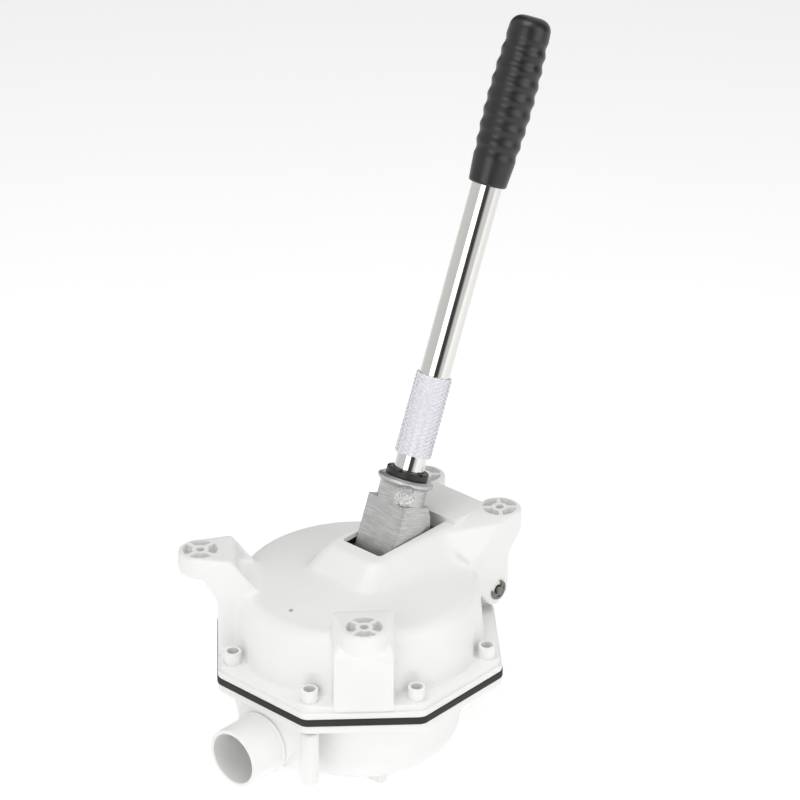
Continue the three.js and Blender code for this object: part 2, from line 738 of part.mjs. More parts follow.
// ---- materials ----
const finish = (color, roughness, metalness) => () =>
  new THREE.MeshStandardMaterial({ color, roughness, metalness });
const whitePlastic = finish(0xf3f2ee, 0.35, 0);
const blackRubber = finish(0x232222, 0.7, 0);
const satinGrip = finish(0x17181a, 0.45, 0);
const castAluminium = finish(0xa9abab, 0.45, 1);
const stainless = finish(0xc9c6c0, 0.2, 1);
const darkSteel = finish(0x6a6762, 0.35, 1);
const blackNylon = finish(0x2b2b2b, 0.5, 0);
const netWhite = finish(0xeeeaf0, 0.8, 0);
const naturalNylon = finish(0xe4dfd2, 0.5, 0);

// ---- assembly ----
const pump = new THREE.Group();
const above = new THREE.Group();
above.position.z = FOOT;
pump.add(above);

function add(name, shape, material) {
  const geometry = shape.isBufferGeometry ? shape : toGeometry(shape);
  const mesh = new THREE.Mesh(geometry, material());
  mesh.name = name;
  above.add(mesh);
  return mesh;
}

function addOnHandle(name, outline, material, sides) {
  add(name, turned(outline, sides).applyMatrix4(handleFrame), material);
}

const alongY = (outline, sides, x, z) =>
  turned(outline, sides).rotateX(-Math.PI / 2).translate(x, 0, z);

add("upper_housing", upperHousing(), whitePlastic);
add("lower_housing", lowerHousing(), whitePlastic);
add("diaphragm", diaphragm(), blackRubber);
add("diaphragm_top_plate", topPlate(), castAluminium);
add("diaphragm_bottom_plate", bottomPlate(), whitePlastic);
add("diaphragm_bolt", turned(boltOutline, 16), stainless);
add("diaphragm_washer", turned(washerOutline, 24), stainless);
add("diaphragm_nut", nut(), stainless);
add("rod_pin", alongY(rodPinOutline, 20, 0, ROD_PIN_Z), stainless);
add("rod_pin_clip", eClip(3.3, 6, 1, 90).translate(0, 14.2, ROD_PIN_Z), darkSteel);

add("lever_casting", leverCasting(), castAluminium);
add("pivot_pin", alongY(pivotPinOutline, 20, PIVOT.x, PIVOT.z), darkSteel);
for (const [name, side] of [["right", -1], ["left", 1]]) {
  add(`pivot_bush_${name}`, bush(side), naturalNylon);
  add(`pivot_clip_${name}`, pivotClip(side), darkSteel);
}

addOnHandle("socket_bush", bushOutline, blackNylon, 20);
addOnHandle("handle_tube", ringOutline(TUBE_R - 1.5, TUBE_R, -30, 296), stainless, 20);
addOnHandle("handle_net", ringOutline(TUBE_R + GAP, 12.15, 20.5, 73.3), netWhite, 20);
addOnHandle("handle_grip", gripOutline(), satinGrip, 16);

add("inlet_spigot", spigot(-1), whitePlastic);
add("outlet_spigot", spigot(1), whitePlastic);
const seats = { inlet: -PORT_ROOT + 0.5, outlet: PORT_ROOT + 5 };
for (const [name, at] of Object.entries(seats)) {
  add(`${name}_valve_seat`, valveSeat(at), naturalNylon);
  add(`${name}_flap`, flap(at), blackRubber);
  add(`${name}_flap_pin`, flapPin(at), stainless);
}
screwPlaces.forEach(([x, y], i) => {
  add(`flange_screw_${i + 1}`, flangeScrew(x, y), stainless);
  add(`flange_nut_${i + 1}`, flangeNut(x, y), stainless);
});

export default pump;
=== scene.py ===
# %% [markdown]
# # A hand-operated diaphragm bilge pump
#
# The pump is a white moulded housing in two halves, clamped round a black rubber diaphragm.
# A cast lever stands in a slot of the upper half and takes a removable tube handle.
# The CAD model is already exact in size and place, so this lesson gives each piece the soft
# edges, fillets and surface that the real one has.

# %% Load the CAD frame
import json
import math

import bmesh
import bpy
from mathutils import Matrix, Vector


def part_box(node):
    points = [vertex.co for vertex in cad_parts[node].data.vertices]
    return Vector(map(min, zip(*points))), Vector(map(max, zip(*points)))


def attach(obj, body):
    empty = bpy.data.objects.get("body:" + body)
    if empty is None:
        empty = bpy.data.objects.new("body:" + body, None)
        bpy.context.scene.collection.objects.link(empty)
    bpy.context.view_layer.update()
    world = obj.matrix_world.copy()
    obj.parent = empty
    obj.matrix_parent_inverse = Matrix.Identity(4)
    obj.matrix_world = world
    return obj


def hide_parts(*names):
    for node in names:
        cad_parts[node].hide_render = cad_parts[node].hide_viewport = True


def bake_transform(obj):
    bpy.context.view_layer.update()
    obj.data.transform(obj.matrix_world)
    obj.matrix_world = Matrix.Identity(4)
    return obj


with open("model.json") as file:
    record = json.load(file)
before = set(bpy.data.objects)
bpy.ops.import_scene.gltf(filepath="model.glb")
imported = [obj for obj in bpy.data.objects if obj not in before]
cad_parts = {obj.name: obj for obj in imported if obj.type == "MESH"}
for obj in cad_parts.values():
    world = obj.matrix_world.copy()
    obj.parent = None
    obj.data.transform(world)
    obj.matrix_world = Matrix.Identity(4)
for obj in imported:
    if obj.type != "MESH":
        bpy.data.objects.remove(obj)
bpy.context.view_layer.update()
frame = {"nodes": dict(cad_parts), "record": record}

# %% [markdown]
# ## Working units
#
# Moulded parts are drawn in millimetres, and their heights are easiest to read from the joint
# between the two halves. So every new piece is built that way in a bmesh, and one matrix takes
# the finished mesh to metres and lifts it to where the CAD has the joint.

# %% Units
JOINT_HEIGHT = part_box("lower_housing")[1].z
TO_FRAME = Matrix.Translation((0, 0, JOINT_HEIGHT)) @ Matrix.Scale(0.001, 4)
GAP = 0.3
print("joint height", round(JOINT_HEIGHT, 4))


def span_on(side, a, b):
    """The span from a to b on one side of the centre, lower end first."""
    return (a, b) if side > 0 else (-b, -a)


# %% [markdown]
# ## The camera
#
# A long lens from a little above shows the slot, the ears and the inlet all at once. The camera
# is placed by its own point and direction, and a very small roll keeps the long handle at its
# right lean.

# %% Camera
VIEW_FROM = Vector((-1.2731, -1.1819, 1.1353))
VIEW_ALONG = Vector((0.6616, 0.5962, -0.4548)).normalized()
ROLL = math.radians(0.21)
LENS = 145.2236

right = VIEW_ALONG.cross(Vector((0, 0, 1))).normalized()
upward = right.cross(VIEW_ALONG)
rolled_right = math.cos(ROLL) * right + math.sin(ROLL) * upward
rolled_up = math.cos(ROLL) * upward - math.sin(ROLL) * right
camera = bpy.data.objects.new("camera", bpy.data.cameras.new("camera"))
camera.data.lens = LENS
camera.data.sensor_width = 36
camera.data.clip_end = 20
camera.matrix_world = (
    Matrix.Translation(VIEW_FROM)
    @ Matrix((rolled_right, rolled_up, -VIEW_ALONG)).transposed().to_4x4()
)
bpy.context.scene.collection.objects.link(camera)
bpy.context.scene.camera = camera
print("camera", [round(v, 3) for v in camera.location])

# %% [markdown]
# ## Shader arithmetic in plain Python
#
# A finish is easier to read as a formula than as a wall of nodes. `Wire` stands for one output
# of a node, and the usual operators on it add Math nodes. Each operator has its reflected form,
# so `1 - mask` works as well as `mask - 1`.

# %% Wires and finishes
class Wire:
    """One output socket of a shader node, on which ordinary arithmetic works."""

    def __init__(self, finish, socket):
        self.finish = finish
        self.socket = socket

    def maths(self, operation, first, second=None):
        values = {0: first} if second is None else {0: first, 1: second}
        return self.finish.node("ShaderNodeMath", {"operation": operation}, values)

    def __add__(self, other):
        return self.maths("ADD", self, other)

    __radd__ = __add__

    def __mul__(self, other):
        return self.maths("MULTIPLY", self, other)

    __rmul__ = __mul__

    def __sub__(self, other):
        return self.maths("SUBTRACT", self, other)

    def __rsub__(self, other):
        return self.maths("SUBTRACT", other, self)

    def clamped(self):
        return self.maths("MINIMUM", self.maths("MAXIMUM", self, 0.0), 1.0)


class Finish:
    """A material whose nodes are added one call at a time."""

    def __init__(self, name, **constants):
        self.material = bpy.data.materials.new(name)
        self.material.use_nodes = True
        self.tree = self.material.node_tree
        self.shader = self.tree.nodes["Principled BSDF"]
        for socket, value in constants.items():
            self.shader.inputs[socket.replace("_", " ")].default_value = value
        self.place = self.node("ShaderNodeTexCoord", output="Object")

    def node(self, kind, settings=None, sockets=None, output=0):
        made = self.tree.nodes.new(kind)
        for key, value in (settings or {}).items():
            setattr(made, key, value)
        for key, value in (sockets or {}).items():
            self.feed(made.inputs[key], value)
        return Wire(self, made.outputs[output])

    def feed(self, socket, value):
        if isinstance(value, Wire):
            self.tree.links.new(value.socket, socket)
        else:
            socket.default_value = value

    def noise(self, scale, detail=3.0, roughness=0.5, place=None):
        sockets = {"Vector": place or self.place, "Scale": scale, "Detail": detail}
        sockets["Roughness"] = roughness
        return self.node("ShaderNodeTexNoise", None, sockets)

    def turned_place(self, turn, stretch):
        """Object coordinates turned by an angle about Y, then stretched."""
        turned_to = self.node(
            "ShaderNodeMapping",
            {"vector_type": "POINT"},
            {"Vector": self.place, "Rotation": (0, turn, 0)},
        )
        return self.node(
            "ShaderNodeVectorMath", {"operation": "MULTIPLY"}, {0: turned_to, 1: stretch}
        )

    def between(self, mask, first, second):
        """Colour that goes from first to second as the mask goes from 0 to 1."""
        values = {0: mask, 6: (*first, 1), 7: (*second, 1)}
        return self.node("ShaderNodeMix", {"data_type": "RGBA"}, values, output=2)

    def wear(self, colour=None, roughness=None, height=None, depth=0.0001, strength=1.0):
        if colour is not None:
            self.feed(self.shader.inputs["Base Color"], colour)
        if roughness is not None:
            self.feed(self.shader.inputs["Roughness"], roughness)
        if height is not None:
            sockets = {"Height": height, "Distance": depth, "Strength": strength}
            bump = self.node("ShaderNodeBump", None, sockets, output="Normal")
            self.feed(self.shader.inputs["Normal"], bump)
        return self.material


# %% [markdown]
# ## White moulded plastic
#
# The housings are injection moulded in a bright white plastic. Three things keep it from
# looking like paint: the colour drifts very slightly where the melt cooled at different speeds,
# the tool leaves a fine low texture, and the gloss is not quite even. Each is one noise.

# %% White plastic
def make_white_plastic():
    finish = Finish("white_plastic", Specular_IOR_Level=0.42, IOR=1.5)
    drift = finish.noise(14.0, 2.0)
    cloud = finish.noise(70.0, 4.0, 0.6)
    tool = finish.noise(1500.0, 2.0, 0.6)
    sink = finish.noise(45.0, 1.0)
    tone = (drift * 0.7 + cloud * 0.3).clamped()
    colour = finish.between(tone, (0.83, 0.83, 0.815), (0.9, 0.9, 0.89))
    roughness = 0.3 + cloud * 0.12 + tool * 0.05
    height = tool * 0.35 + sink * 3.0
    return finish.wear(colour, roughness, height, depth=0.00012, strength=0.22)


white_plastic = make_white_plastic()
print("finish", white_plastic.name)

# %% [markdown]
# ## Rubber and nylon
#
# Moulded rubber is nearly black and matt, with a faint grey bloom. Black nylon is a little
# glossier, and natural nylon is a warm milky white.

# %% Rubber and nylon
def make_moulded(name, dark, light, roughness, grain):
    finish = Finish(name, Specular_IOR_Level=0.4)
    bloom = finish.noise(60.0, 4.0, 0.65)
    fine = finish.noise(grain, 3.0, 0.6)
    colour = finish.between(bloom, dark, light)
    return finish.wear(colour, roughness + bloom * 0.15, fine + bloom * 0.5, 0.00012, 0.35)


black_rubber = make_moulded("black_rubber", (0.012, 0.012, 0.011), (0.03, 0.029, 0.027), 0.55, 1400)
black_nylon = make_moulded("black_nylon", (0.012, 0.012, 0.012), (0.028, 0.027, 0.026), 0.34, 1800)
natural_nylon = make_moulded("natural_nylon", (0.66, 0.63, 0.54), (0.75, 0.73, 0.65), 0.38, 1500)

# %% [markdown]
# ## Steel
#
# A bright steel part is a metal with a low roughness. Fine turning or drawing marks run in one
# direction, so the noise that draws them is stretched along that direction.

# %% Steel
HANDLE_LEAN = math.radians(22.64)


def make_steel(name, dark, light, roughness, stretch, turn=0.0, strength=0.15):
    finish = Finish(name, Metallic=1.0)
    marks = finish.noise(1.0, 3.0, 0.7, finish.turned_place(turn, stretch))
    cloud = finish.noise(55.0, 3.0, 0.6)
    tone = (marks * 0.6 + cloud * 0.4).clamped()
    colour = finish.between(tone, dark, light)
    return finish.wear(colour, roughness + marks * 0.12, marks, 0.00006, strength)


stainless_steel = make_steel(
    "stainless_steel", (0.5, 0.49, 0.47), (0.66, 0.65, 0.63), 0.2, (900, 900, 5000)
)
dark_steel = make_steel(
    "dark_steel", (0.13, 0.125, 0.115), (0.25, 0.24, 0.22), 0.28, (1800, 400, 1800)
)
polished_tube = make_steel(
    "polished_tube",
    (0.66, 0.65, 0.62),
    (0.78, 0.77, 0.75),
    0.03,
    (2600, 2600, 12),
    turn=-HANDLE_LEAN,
    strength=0.05,
)

# %% [markdown]
# ## Die-cast aluminium
#
# The lever is a casting whose flats were linished on a belt, which leaves short scratches across
# the line of the handle. Between them the skin is slightly mottled, with a few small pits.

# %% Cast aluminium
SCOOP_PLACE = (0.0302, -0.0119, 0.1738)
SCOOP_REACH = 0.0085


def make_cast_aluminium():
    finish = Finish("cast_aluminium", Metallic=1.0)
    belt = finish.noise(1.0, 4.0, 0.75, finish.turned_place(-HANDLE_LEAN, (70, 70, 1300)))
    mottle = finish.noise(160.0, 5.0, 0.65)
    pits = finish.noise(650.0, 2.0, 0.5)
    sparkle = finish.noise(900.0, 3.0, 0.7)
    ends = {0: finish.place, 1: SCOOP_PLACE}
    away = finish.node("ShaderNodeVectorMath", {"operation": "DISTANCE"}, ends, "Value")
    scooped = ((SCOOP_REACH - away) * 700.0).clamped()
    lines = ((belt - 0.5) * 2.4 + 0.5).clamped()
    grains = ((sparkle - 0.5) * 3.0 + 0.55).clamped()
    brushed = lines * 0.6 + mottle * 0.4
    tone = (brushed * (1 - scooped) + grains * scooped).clamped()
    colour = finish.between(tone, (0.3, 0.305, 0.3), (0.78, 0.785, 0.775))
    pitted = ((pits - 0.66) * 9.0).clamped()
    roughness = 0.3 + belt * 0.22 + mottle * 0.12 - scooped * 0.16
    height = belt * 0.6 + mottle * 0.5 - pitted * 0.8 + grains * scooped * 2.2
    return finish.wear(colour, roughness, height, depth=0.0002, strength=0.5)


cast_aluminium = make_cast_aluminium()

# %% [markdown]
# ## Net and grip
#
# The sleeve on the tube is a knitted plastic net, bright and slightly glossy. The grip is a
# black moulding with a satin skin whose gloss varies a little from place to place.

# %% Net and grip finishes
def make_white_net():
    finish = Finish("white_net", Specular_IOR_Level=0.6)
    shade = finish.noise(420.0, 2.0, 0.6)
    colour = finish.between(shade, (0.74, 0.73, 0.78), (0.93, 0.92, 0.96))
    return finish.wear(colour, 0.28 + shade * 0.2, shade, 0.0001, 0.3)


def make_black_grip():
    finish = Finish("black_grip", Specular_IOR_Level=0.5)
    cloud = finish.noise(50.0, 4.0, 0.6)
    grain = finish.noise(2600.0, 2.0, 0.6)
    colour = finish.between(cloud, (0.007, 0.007, 0.008), (0.016, 0.016, 0.018))
    return finish.wear(colour, 0.24 + cloud * 0.16, grain + cloud * 0.4, 0.0001, 0.2)


white_net = make_white_net()
black_grip = make_black_grip()
finishes = {
    "white_plastic": white_plastic,
    "black_rubber": black_rubber,
    "cast_aluminium": cast_aluminium,
    "stainless_steel": stainless_steel,
    "dark_steel": dark_steel,
    "polished_tube": polished_tube,
    "black_nylon": black_nylon,
    "natural_nylon": natural_nylon,
    "white_net": white_net,
    "black_grip": black_grip,
}
print("finishes", len(finishes))

# %% [markdown]
# ## Small set of mesh helpers
#
# Most moulded shapes are one of four things: an outline spun about a line, an outline pushed
# along a line, the tightest skin round a few points, or one of these cut from or joined to
# another. Each helper starts a bmesh, lets an operator make the shape, and leaves it closed
# with its faces outwards.

# %% Mesh helpers
def tidy(bm):
    bmesh.ops.remove_doubles(bm, verts=bm.verts, dist=1e-4)
    bmesh.ops.dissolve_degenerate(bm, edges=bm.edges, dist=1e-5)
    bmesh.ops.recalc_face_normals(bm, faces=bm.faces)
    return bm


def turned(outline, closed=False, steps=128):
    """Spins an outline of (radius, height) pairs about Z."""
    bm = bmesh.new()
    points = [bm.verts.new((r, 0, z)) for r, z in outline]
    ends = points[1:] + points[:1] if closed else points[1:]
    edges = [bm.edges.new(pair) for pair in zip(points, ends)]
    bmesh.ops.spin(
        bm,
        geom=points + edges,
        axis=(0, 0, 1),
        cent=(0, 0, 0),
        angle=math.tau,
        steps=steps,
        use_merge=True,
    )
    return tidy(bm)


def moved(bm, matrix):
    bmesh.ops.transform(bm, matrix=matrix, verts=bm.verts)
    return bm


def soften(bm, edges, width, segments=3):
    bmesh.ops.bevel(
        bm,
        geom=list(edges),
        offset=width,
        offset_type="OFFSET",
        segments=segments,
        profile=0.5,
        material=-1,
        affect="EDGES",
        clamp_overlap=True,
    )
    return bm


def sharp_edges(bm, degrees=35):
    limit = math.radians(degrees)
    return [e for e in bm.edges if e.calc_face_angle(0) > limit]


def block(x, y, z, soft=0.0, segments=3):
    """Box from three (low, high) spans, with softened edges."""
    bm = bmesh.new()
    bmesh.ops.create_cube(bm, size=1)
    sizes = (x[1] - x[0], y[1] - y[0], z[1] - z[0])
    middle = ((x[0] + x[1]) / 2, (y[0] + y[1]) / 2, (z[0] + z[1]) / 2)
    moved(bm, Matrix.Translation(middle) @ Matrix.Diagonal((*sizes, 1)))
    return soften(bm, bm.edges, soft, segments) if soft else bm


def edges_along(bm, axis):
    """Edges longer than a millimetre in the direction of axis 0, 1 or 2."""
    return [e for e in bm.edges if abs(e.verts[0].co[axis] - e.verts[1].co[axis]) > 1]


def post(r, z0, z1, x=0.0, y=0.0, soft=0.0, steps=48):
    """Round bar standing on Z, with softened rims."""
    bm = bmesh.new()
    bmesh.ops.create_cone(
        bm,
        cap_ends=True,
        segments=steps,
        radius1=r,
        radius2=r,
        depth=z1 - z0,
    )
    moved(bm, Matrix.Translation((x, y, (z0 + z1) / 2)))
    return soften(bm, sharp_edges(bm), soft, 2) if soft else bm


def along_x(bm, x=0.0, y=0.0, z=0.0):
    return moved(bm, Matrix.Translation((x, y, z)) @ Matrix.Rotation(math.pi / 2, 4, "Y"))


def along_y(bm, x=0.0, y=0.0, z=0.0):
    return moved(bm, Matrix.Translation((x, y, z)) @ Matrix.Rotation(-math.pi / 2, 4, "X"))


def plate(outline, y, soft=0.0):
    """Pushes an outline in the XZ plane from one y to another."""
    bm = bmesh.new()
    face = bm.faces.new([bm.verts.new((px, y[0], pz)) for px, pz in outline])
    pushed = bmesh.ops.extrude_face_region(bm, geom=[face], use_keep_orig=True)
    far = [v for v in pushed["geom"] if isinstance(v, bmesh.types.BMVert)]
    bmesh.ops.translate(bm, verts=far, vec=(0, y[1] - y[0], 0))
    tidy(bm)
    return soften(bm, sharp_edges(bm), soft, 2) if soft else bm


def skin(points):
    """The tightest closed skin round some points."""
    bm = bmesh.new()
    for point in points:
        bm.verts.new(point)
    made = bmesh.ops.convex_hull(bm, input=bm.verts)
    loose = [v for v in made["geom_interior"] if isinstance(v, bmesh.types.BMVert)]
    bmesh.ops.delete(bm, geom=loose, context="VERTS")
    return tidy(bm)


def octagon(across, z, soft=0.0, corner=7.0):
    """Eight-sided slab with rounded corners."""
    corner_r = across / 2 / math.cos(math.pi / 8)
    bm = bmesh.new()
    bmesh.ops.create_cone(
        bm, cap_ends=True, segments=8, radius1=corner_r, radius2=corner_r, depth=z[1] - z[0]
    )
    turn = Matrix.Rotation(math.pi / 8, 4, "Z")
    moved(bm, Matrix.Translation((0, 0, (z[0] + z[1]) / 2)) @ turn)
    # A flat has to face X. Where a corner still points that way, the slab is turned once more.
    if abs(max(v.co.x for v in bm.verts) - corner_r) < 1e-3:
        moved(bm, turn)
    soften(bm, edges_along(bm, 2), corner * math.tan(math.pi / 8), 6)
    return soften(bm, sharp_edges(bm, 60), soft, 3) if soft else bm


def arc(cx, cz, r, start, end, steps):
    angles = [math.radians(start + (end - start) * i / steps) for i in range(steps + 1)]
    return [(cx + r * math.cos(a), cz + r * math.sin(a)) for a in angles]


# %% [markdown]
# ### Joining and cutting
#
# A Boolean modifier joins and cuts closed meshes cleanly, and its Manifold solver is quick even
# on a fine mesh. The modifier is evaluated once, and the result goes back into a bmesh.

# %% Booleans
def as_object(bm, name="scratch"):
    """Puts a bmesh into the scene as an object. The bmesh is used up."""
    mesh = bpy.data.meshes.new(name)
    bm.to_mesh(mesh)
    bm.free()
    holder = bpy.data.objects.new(name, mesh)
    bpy.context.scene.collection.objects.link(holder)
    return holder


def evaluated(holder):
    """The mesh of an object with its modifiers, as a bmesh. The object is removed."""
    graph = bpy.context.evaluated_depsgraph_get()
    bm = bmesh.new()
    bm.from_object(holder, graph)
    mesh = holder.data
    bpy.data.objects.remove(holder)
    bpy.data.meshes.remove(mesh)
    return bm


def combine(operation, first, *others):
    """Joins others to first, or cuts them from it. The bmeshes given are used up."""
    holder = as_object(first)
    tools = [as_object(bm, "tool") for bm in others]
    for tool in tools:
        modifier = holder.modifiers.new("combine", "BOOLEAN")
        modifier.operation = operation
        modifier.solver = "MANIFOLD"
        modifier.object = tool
    result = evaluated(holder)
    for tool in tools:
        mesh = tool.data
        bpy.data.objects.remove(tool)
        bpy.data.meshes.remove(mesh)
    return result


def join(first, *others):
    return combine("UNION", first, *others)


def cut(first, *others):
    return combine("DIFFERENCE", first, *others)


# %% [markdown]
# ### Fillets by remeshing
#
# Where a hood, arms and ears run into a dome, a mould has soft fillets that no bevel can follow.
# A Remesh modifier gives the joined solid one even net of small faces, and a few rounds of
# vertex smoothing then round every edge and fill every corner by about the same radius.
# More rounds in one region give that region larger fillets.

# %% Remesh and relax
def even_net(bm, size):
    holder = as_object(bm)
    modifier = holder.modifiers.new("net", "REMESH")
    modifier.mode = "VOXEL"
    modifier.voxel_size = size
    return evaluated(holder)


def relax(bm, rounds, where=None, factor=0.5):
    chosen = [v for v in bm.verts if where is None or where(v.co)]
    for _ in range(rounds):
        bmesh.ops.smooth_vert(
            bm, verts=chosen, factor=factor, use_axis_x=True, use_axis_y=True, use_axis_z=True
        )
    return bm


# %% [markdown]
# ### Finishing a piece
#
# A finished piece is a mesh in metres in the pump's own frame, so its object stays at the
# origin. A Weighted Normal modifier lets large flat faces shade flat right up to their rounded
# edges. The piece gets its finish, the body that it moves with, and the CAD nodes that it
# stands for.

# %% Finish a piece
def shade_by_angle(mesh, degrees):
    mesh.polygons.foreach_set("use_smooth", [True] * len(mesh.polygons))
    mesh.set_sharp_from_angle(angle=math.radians(degrees))


def finish_piece(name, bm, finish, body, *nodes, smooth=38):
    bmesh.ops.remove_doubles(bm, verts=bm.verts, dist=1e-4)
    piece = as_object(moved(bm, TO_FRAME), name)
    mesh = piece.data
    shade_by_angle(mesh, smooth)
    mesh.materials.append(finishes[finish])
    flats = piece.modifiers.new("flats", "WEIGHTED_NORMAL")
    flats.mode = "FACE_AREA"
    flats.weight = 100
    flats.keep_sharp = True
    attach(piece, body)
    if nodes:
        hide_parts(*nodes)
    triangles = sum(len(p.vertices) - 2 for p in mesh.polygons)
    print(f"{name}: {triangles} triangles")
    return piece


# %% [markdown]
# ## Dimensions that several pieces share

# %% Shared dimensions
OCTAGON = 176
RIM = 4.6
RIM_PROUD = 0.5
FLANGE_STEP = 8.6
FLANGE_TOP = 13
LOWER_FLANGE = 5.3
SCREW_CIRCLE = 85
SCREW_SEAT = 10
SCREW_BOSS_TOP = 21.2
SCREW_BOSS_R = 5.3
SCREW_HOLE_R = 2.4
HEAD_ROOM_R = 3.7
WALL = 3
BODY_R = 76
BODY_FOOT_R = 80
SHOULDER_Z = 44
DOME_Z = 60
HOOD_TOP = 72
SLOT_X = (2.7, 63.4)
SLOT_HALF = 15.9
REAR_HALF = 24
EAR_TOP = 75
EAR_R = 14
EAR_BOTTOM = 60.5
ARM_RADIUS = 97.3
ARM_HALF = 18.4
ARM_FACE = 87.5
ARM_KNEE_Z = 48
REAR_EAR = (97.3, 32.1)
PIVOT = (80.5, 27)
LUG_INNER = 34
LUG_OUTER = 46
BUSH = {"r": 7.2, "end": 43.9}
BUSH_ROOM = {"r": 7.5, "end": 44.2}
PIN_HOLE_R = 3.3
EAR_HOLE_R = 2.6
POCKET = {"r": 10.9, "hub": 5.2, "half_web": 1.3, "deep": 6}
PORT_Z = -27
SHROUD_Z = 64.5
VENT = (-60, 1.5)
screw_angles = [(i + 0.5) * math.pi / 4 for i in range(8)]
screw_places = [(SCREW_CIRCLE * math.cos(a), SCREW_CIRCLE * math.sin(a)) for a in screw_angles]

# %% [markdown]
# ## Upper housing: the outside
#
# The body is turned: a nearly upright wall, a round shoulder and a shallow dome. The hood over
# the lever is the skin round a few stacked outlines. The two front arms are short columns that
# carry the mounting ears outwards, and the rear ears stand on the lugs that hold the pivot.

# %% Turned body
def body_outline(inset, z0):
    shoulder = arc(BODY_R - 10 - inset, SHOULDER_Z - inset, 10, 0, 72, 12)
    radii = (58, 50, 42, 34, 26, 18, 10, 0)
    dome = [(r, DOME_Z - inset - (DOME_Z - 54) * r * r / 4400) for r in radii]
    return [(0, z0), (BODY_FOOT_R - inset, z0), *shoulder, *dome]


# %% Hood and rear box
HOOD_LEVELS = (
    {"x": -33, "half": 33, "rear": 45, "round": 14},
    {"z": 58, "x": -24, "half": 28, "rear": 36, "round": 12},
    {"z": 68, "x": -12, "half": 24, "rear": 27, "round": 10},
    {"z": HOOD_TOP - 0.6, "x": -7, "half": 21.5, "rear": 23, "round": 8},
    {"z": HOOD_TOP, "x": -5, "half": 20, "rear": 21.5, "round": 8},
)


def hood(inset, z0):
    points = []
    for level in HOOD_LEVELS:
        z = level.get("z", z0) - inset
        near = level["x"] + inset
        side = level["half"] - inset
        turn = level["round"]
        corner = arc(near + turn, side - turn, turn, 90, 180, 8)
        outline = [(90 - inset, level["rear"] - inset), *corner]
        points += [(px, sign * py, z) for px, py in outline for sign in (1, -1)]
    return skin(points)


def rear_box(inset):
    x0, x1 = 48, 94 - inset
    foot, top = 36 - inset, REAR_HALF - inset
    points = []
    for side in (-1, 1):
        points += [
            (x0, side * foot, 6 + inset),
            (x1 - 4, side * foot, 6 + inset),
            (x1, side * foot, 30),
            (x1, side * foot, 38),
            (x0, side * foot, 38),
            (x0, side * top, HOOD_TOP - 2 - inset),
            (x1, side * top, HOOD_TOP - 2 - inset),
        ]
    return skin(points)


# %% Front arm
def front_arm(turn):
    """Column, leaning gusset, ear and channel, drawn along X and then turned about Z."""

    def both(points):
        return [(u, side * w, z) for u, w, z in points for side in (1, -1)]

    column = skin(
        both(
            [
                (64, ARM_HALF, FLANGE_STEP),
                (ARM_FACE, ARM_HALF, FLANGE_STEP),
                (ARM_FACE, ARM_HALF, ARM_KNEE_Z),
                (78, ARM_HALF, EAR_TOP),
                (58.3, ARM_HALF, 49.6),
            ]
        )
    )
    gusset = skin(
        both(
            [
                (78, ARM_HALF, EAR_TOP),
                (ARM_RADIUS, EAR_R - 0.3, EAR_TOP),
                (ARM_RADIUS + 0.7, EAR_R - 0.5, 62.8),
                (ARM_FACE, ARM_HALF, ARM_KNEE_Z),
                (76, ARM_HALF, ARM_KNEE_Z),
            ]
        )
    )
    ear = post(EAR_R, EAR_BOTTOM, EAR_TOP, ARM_RADIUS, 0, steps=64)
    inner = ARM_HALF - WALL
    channel = block((50, 75.5), (-inner, inner), (57, EAR_TOP + 15), 2.5)
    arm = cut(join(column, gusset, ear), channel)
    return moved(arm, Matrix.Rotation(turn, 4, "Z"))


# %% Rear ear
def rear_ear(side):
    """Ear, pivot lug and the web that sweeps from the lug's ridge up to the top of the hood."""
    ear = post(EAR_R, EAR_BOTTOM, EAR_TOP, REAR_EAR[0], side * REAR_EAR[1], steps=64)
    under_pin = arc(*PIVOT, 11, 200, 345, 14)
    ridge = [(91.5, 48), (91.5, 62), (88, 73), (83.5, 73.5), (55, 57), (55, 40), (64, 30)]
    lug = plate([*under_pin, *ridge], span_on(side, LUG_INNER - 2, LUG_OUTER))
    near, far = side * 20, side * LUG_OUTER
    web = skin(
        [
            (84, far, 47),
            (91.5, far, 48),
            (103, far, EAR_BOTTOM + 1),
            (103, far, EAR_TOP),
            (83.5, far, 73.5),
            (55, far, 57),
            (58, far, 46),
            (84, near, 47),
            (91.5, near, 48),
            (100, near, EAR_BOTTOM + 1),
            (100, near, EAR_TOP),
            (76, near, EAR_TOP),
            (50, near, HOOD_TOP - 2),
        ]
    )
    return join(ear, lug, web)


# %% [markdown]
# ### Rounding the outside
#
# The whole outside is joined, remeshed and relaxed. The foot of the hood gets sixteen
# more rounds, because there the mould runs into the dome with a wider fillet. The flange and the
# screw bosses stay out of this, so that they keep their crisp moulded edges.

# %% Soft outside of the upper housing
NET = 1.2
HOOD_FOOT = (46, 60)


def near_hood_foot(co):
    return HOOD_FOOT[0] < co.z < HOOD_FOOT[1] and -46 < co.x < 50 and abs(co.y) < 52


def soft_upper():
    shell = turned(body_outline(0, RIM))
    slab = octagon(OCTAGON - 5, (RIM, FLANGE_TOP - 0.4))
    solid = join(shell, slab, hood(0, 46), rear_box(0))
    solid = join(solid, front_arm(math.radians(135)), front_arm(math.radians(-135)))
    solid = join(solid, rear_ear(1), rear_ear(-1))
    scallops = [post(8.6, FLANGE_TOP - 0.4, 27, x, y) for x, y in screw_places]
    solid = cut(solid, *scallops)
    net = even_net(solid, NET)
    relax(net, 4)
    relax(net, 16, near_hood_foot)
    return relax(net, 2)


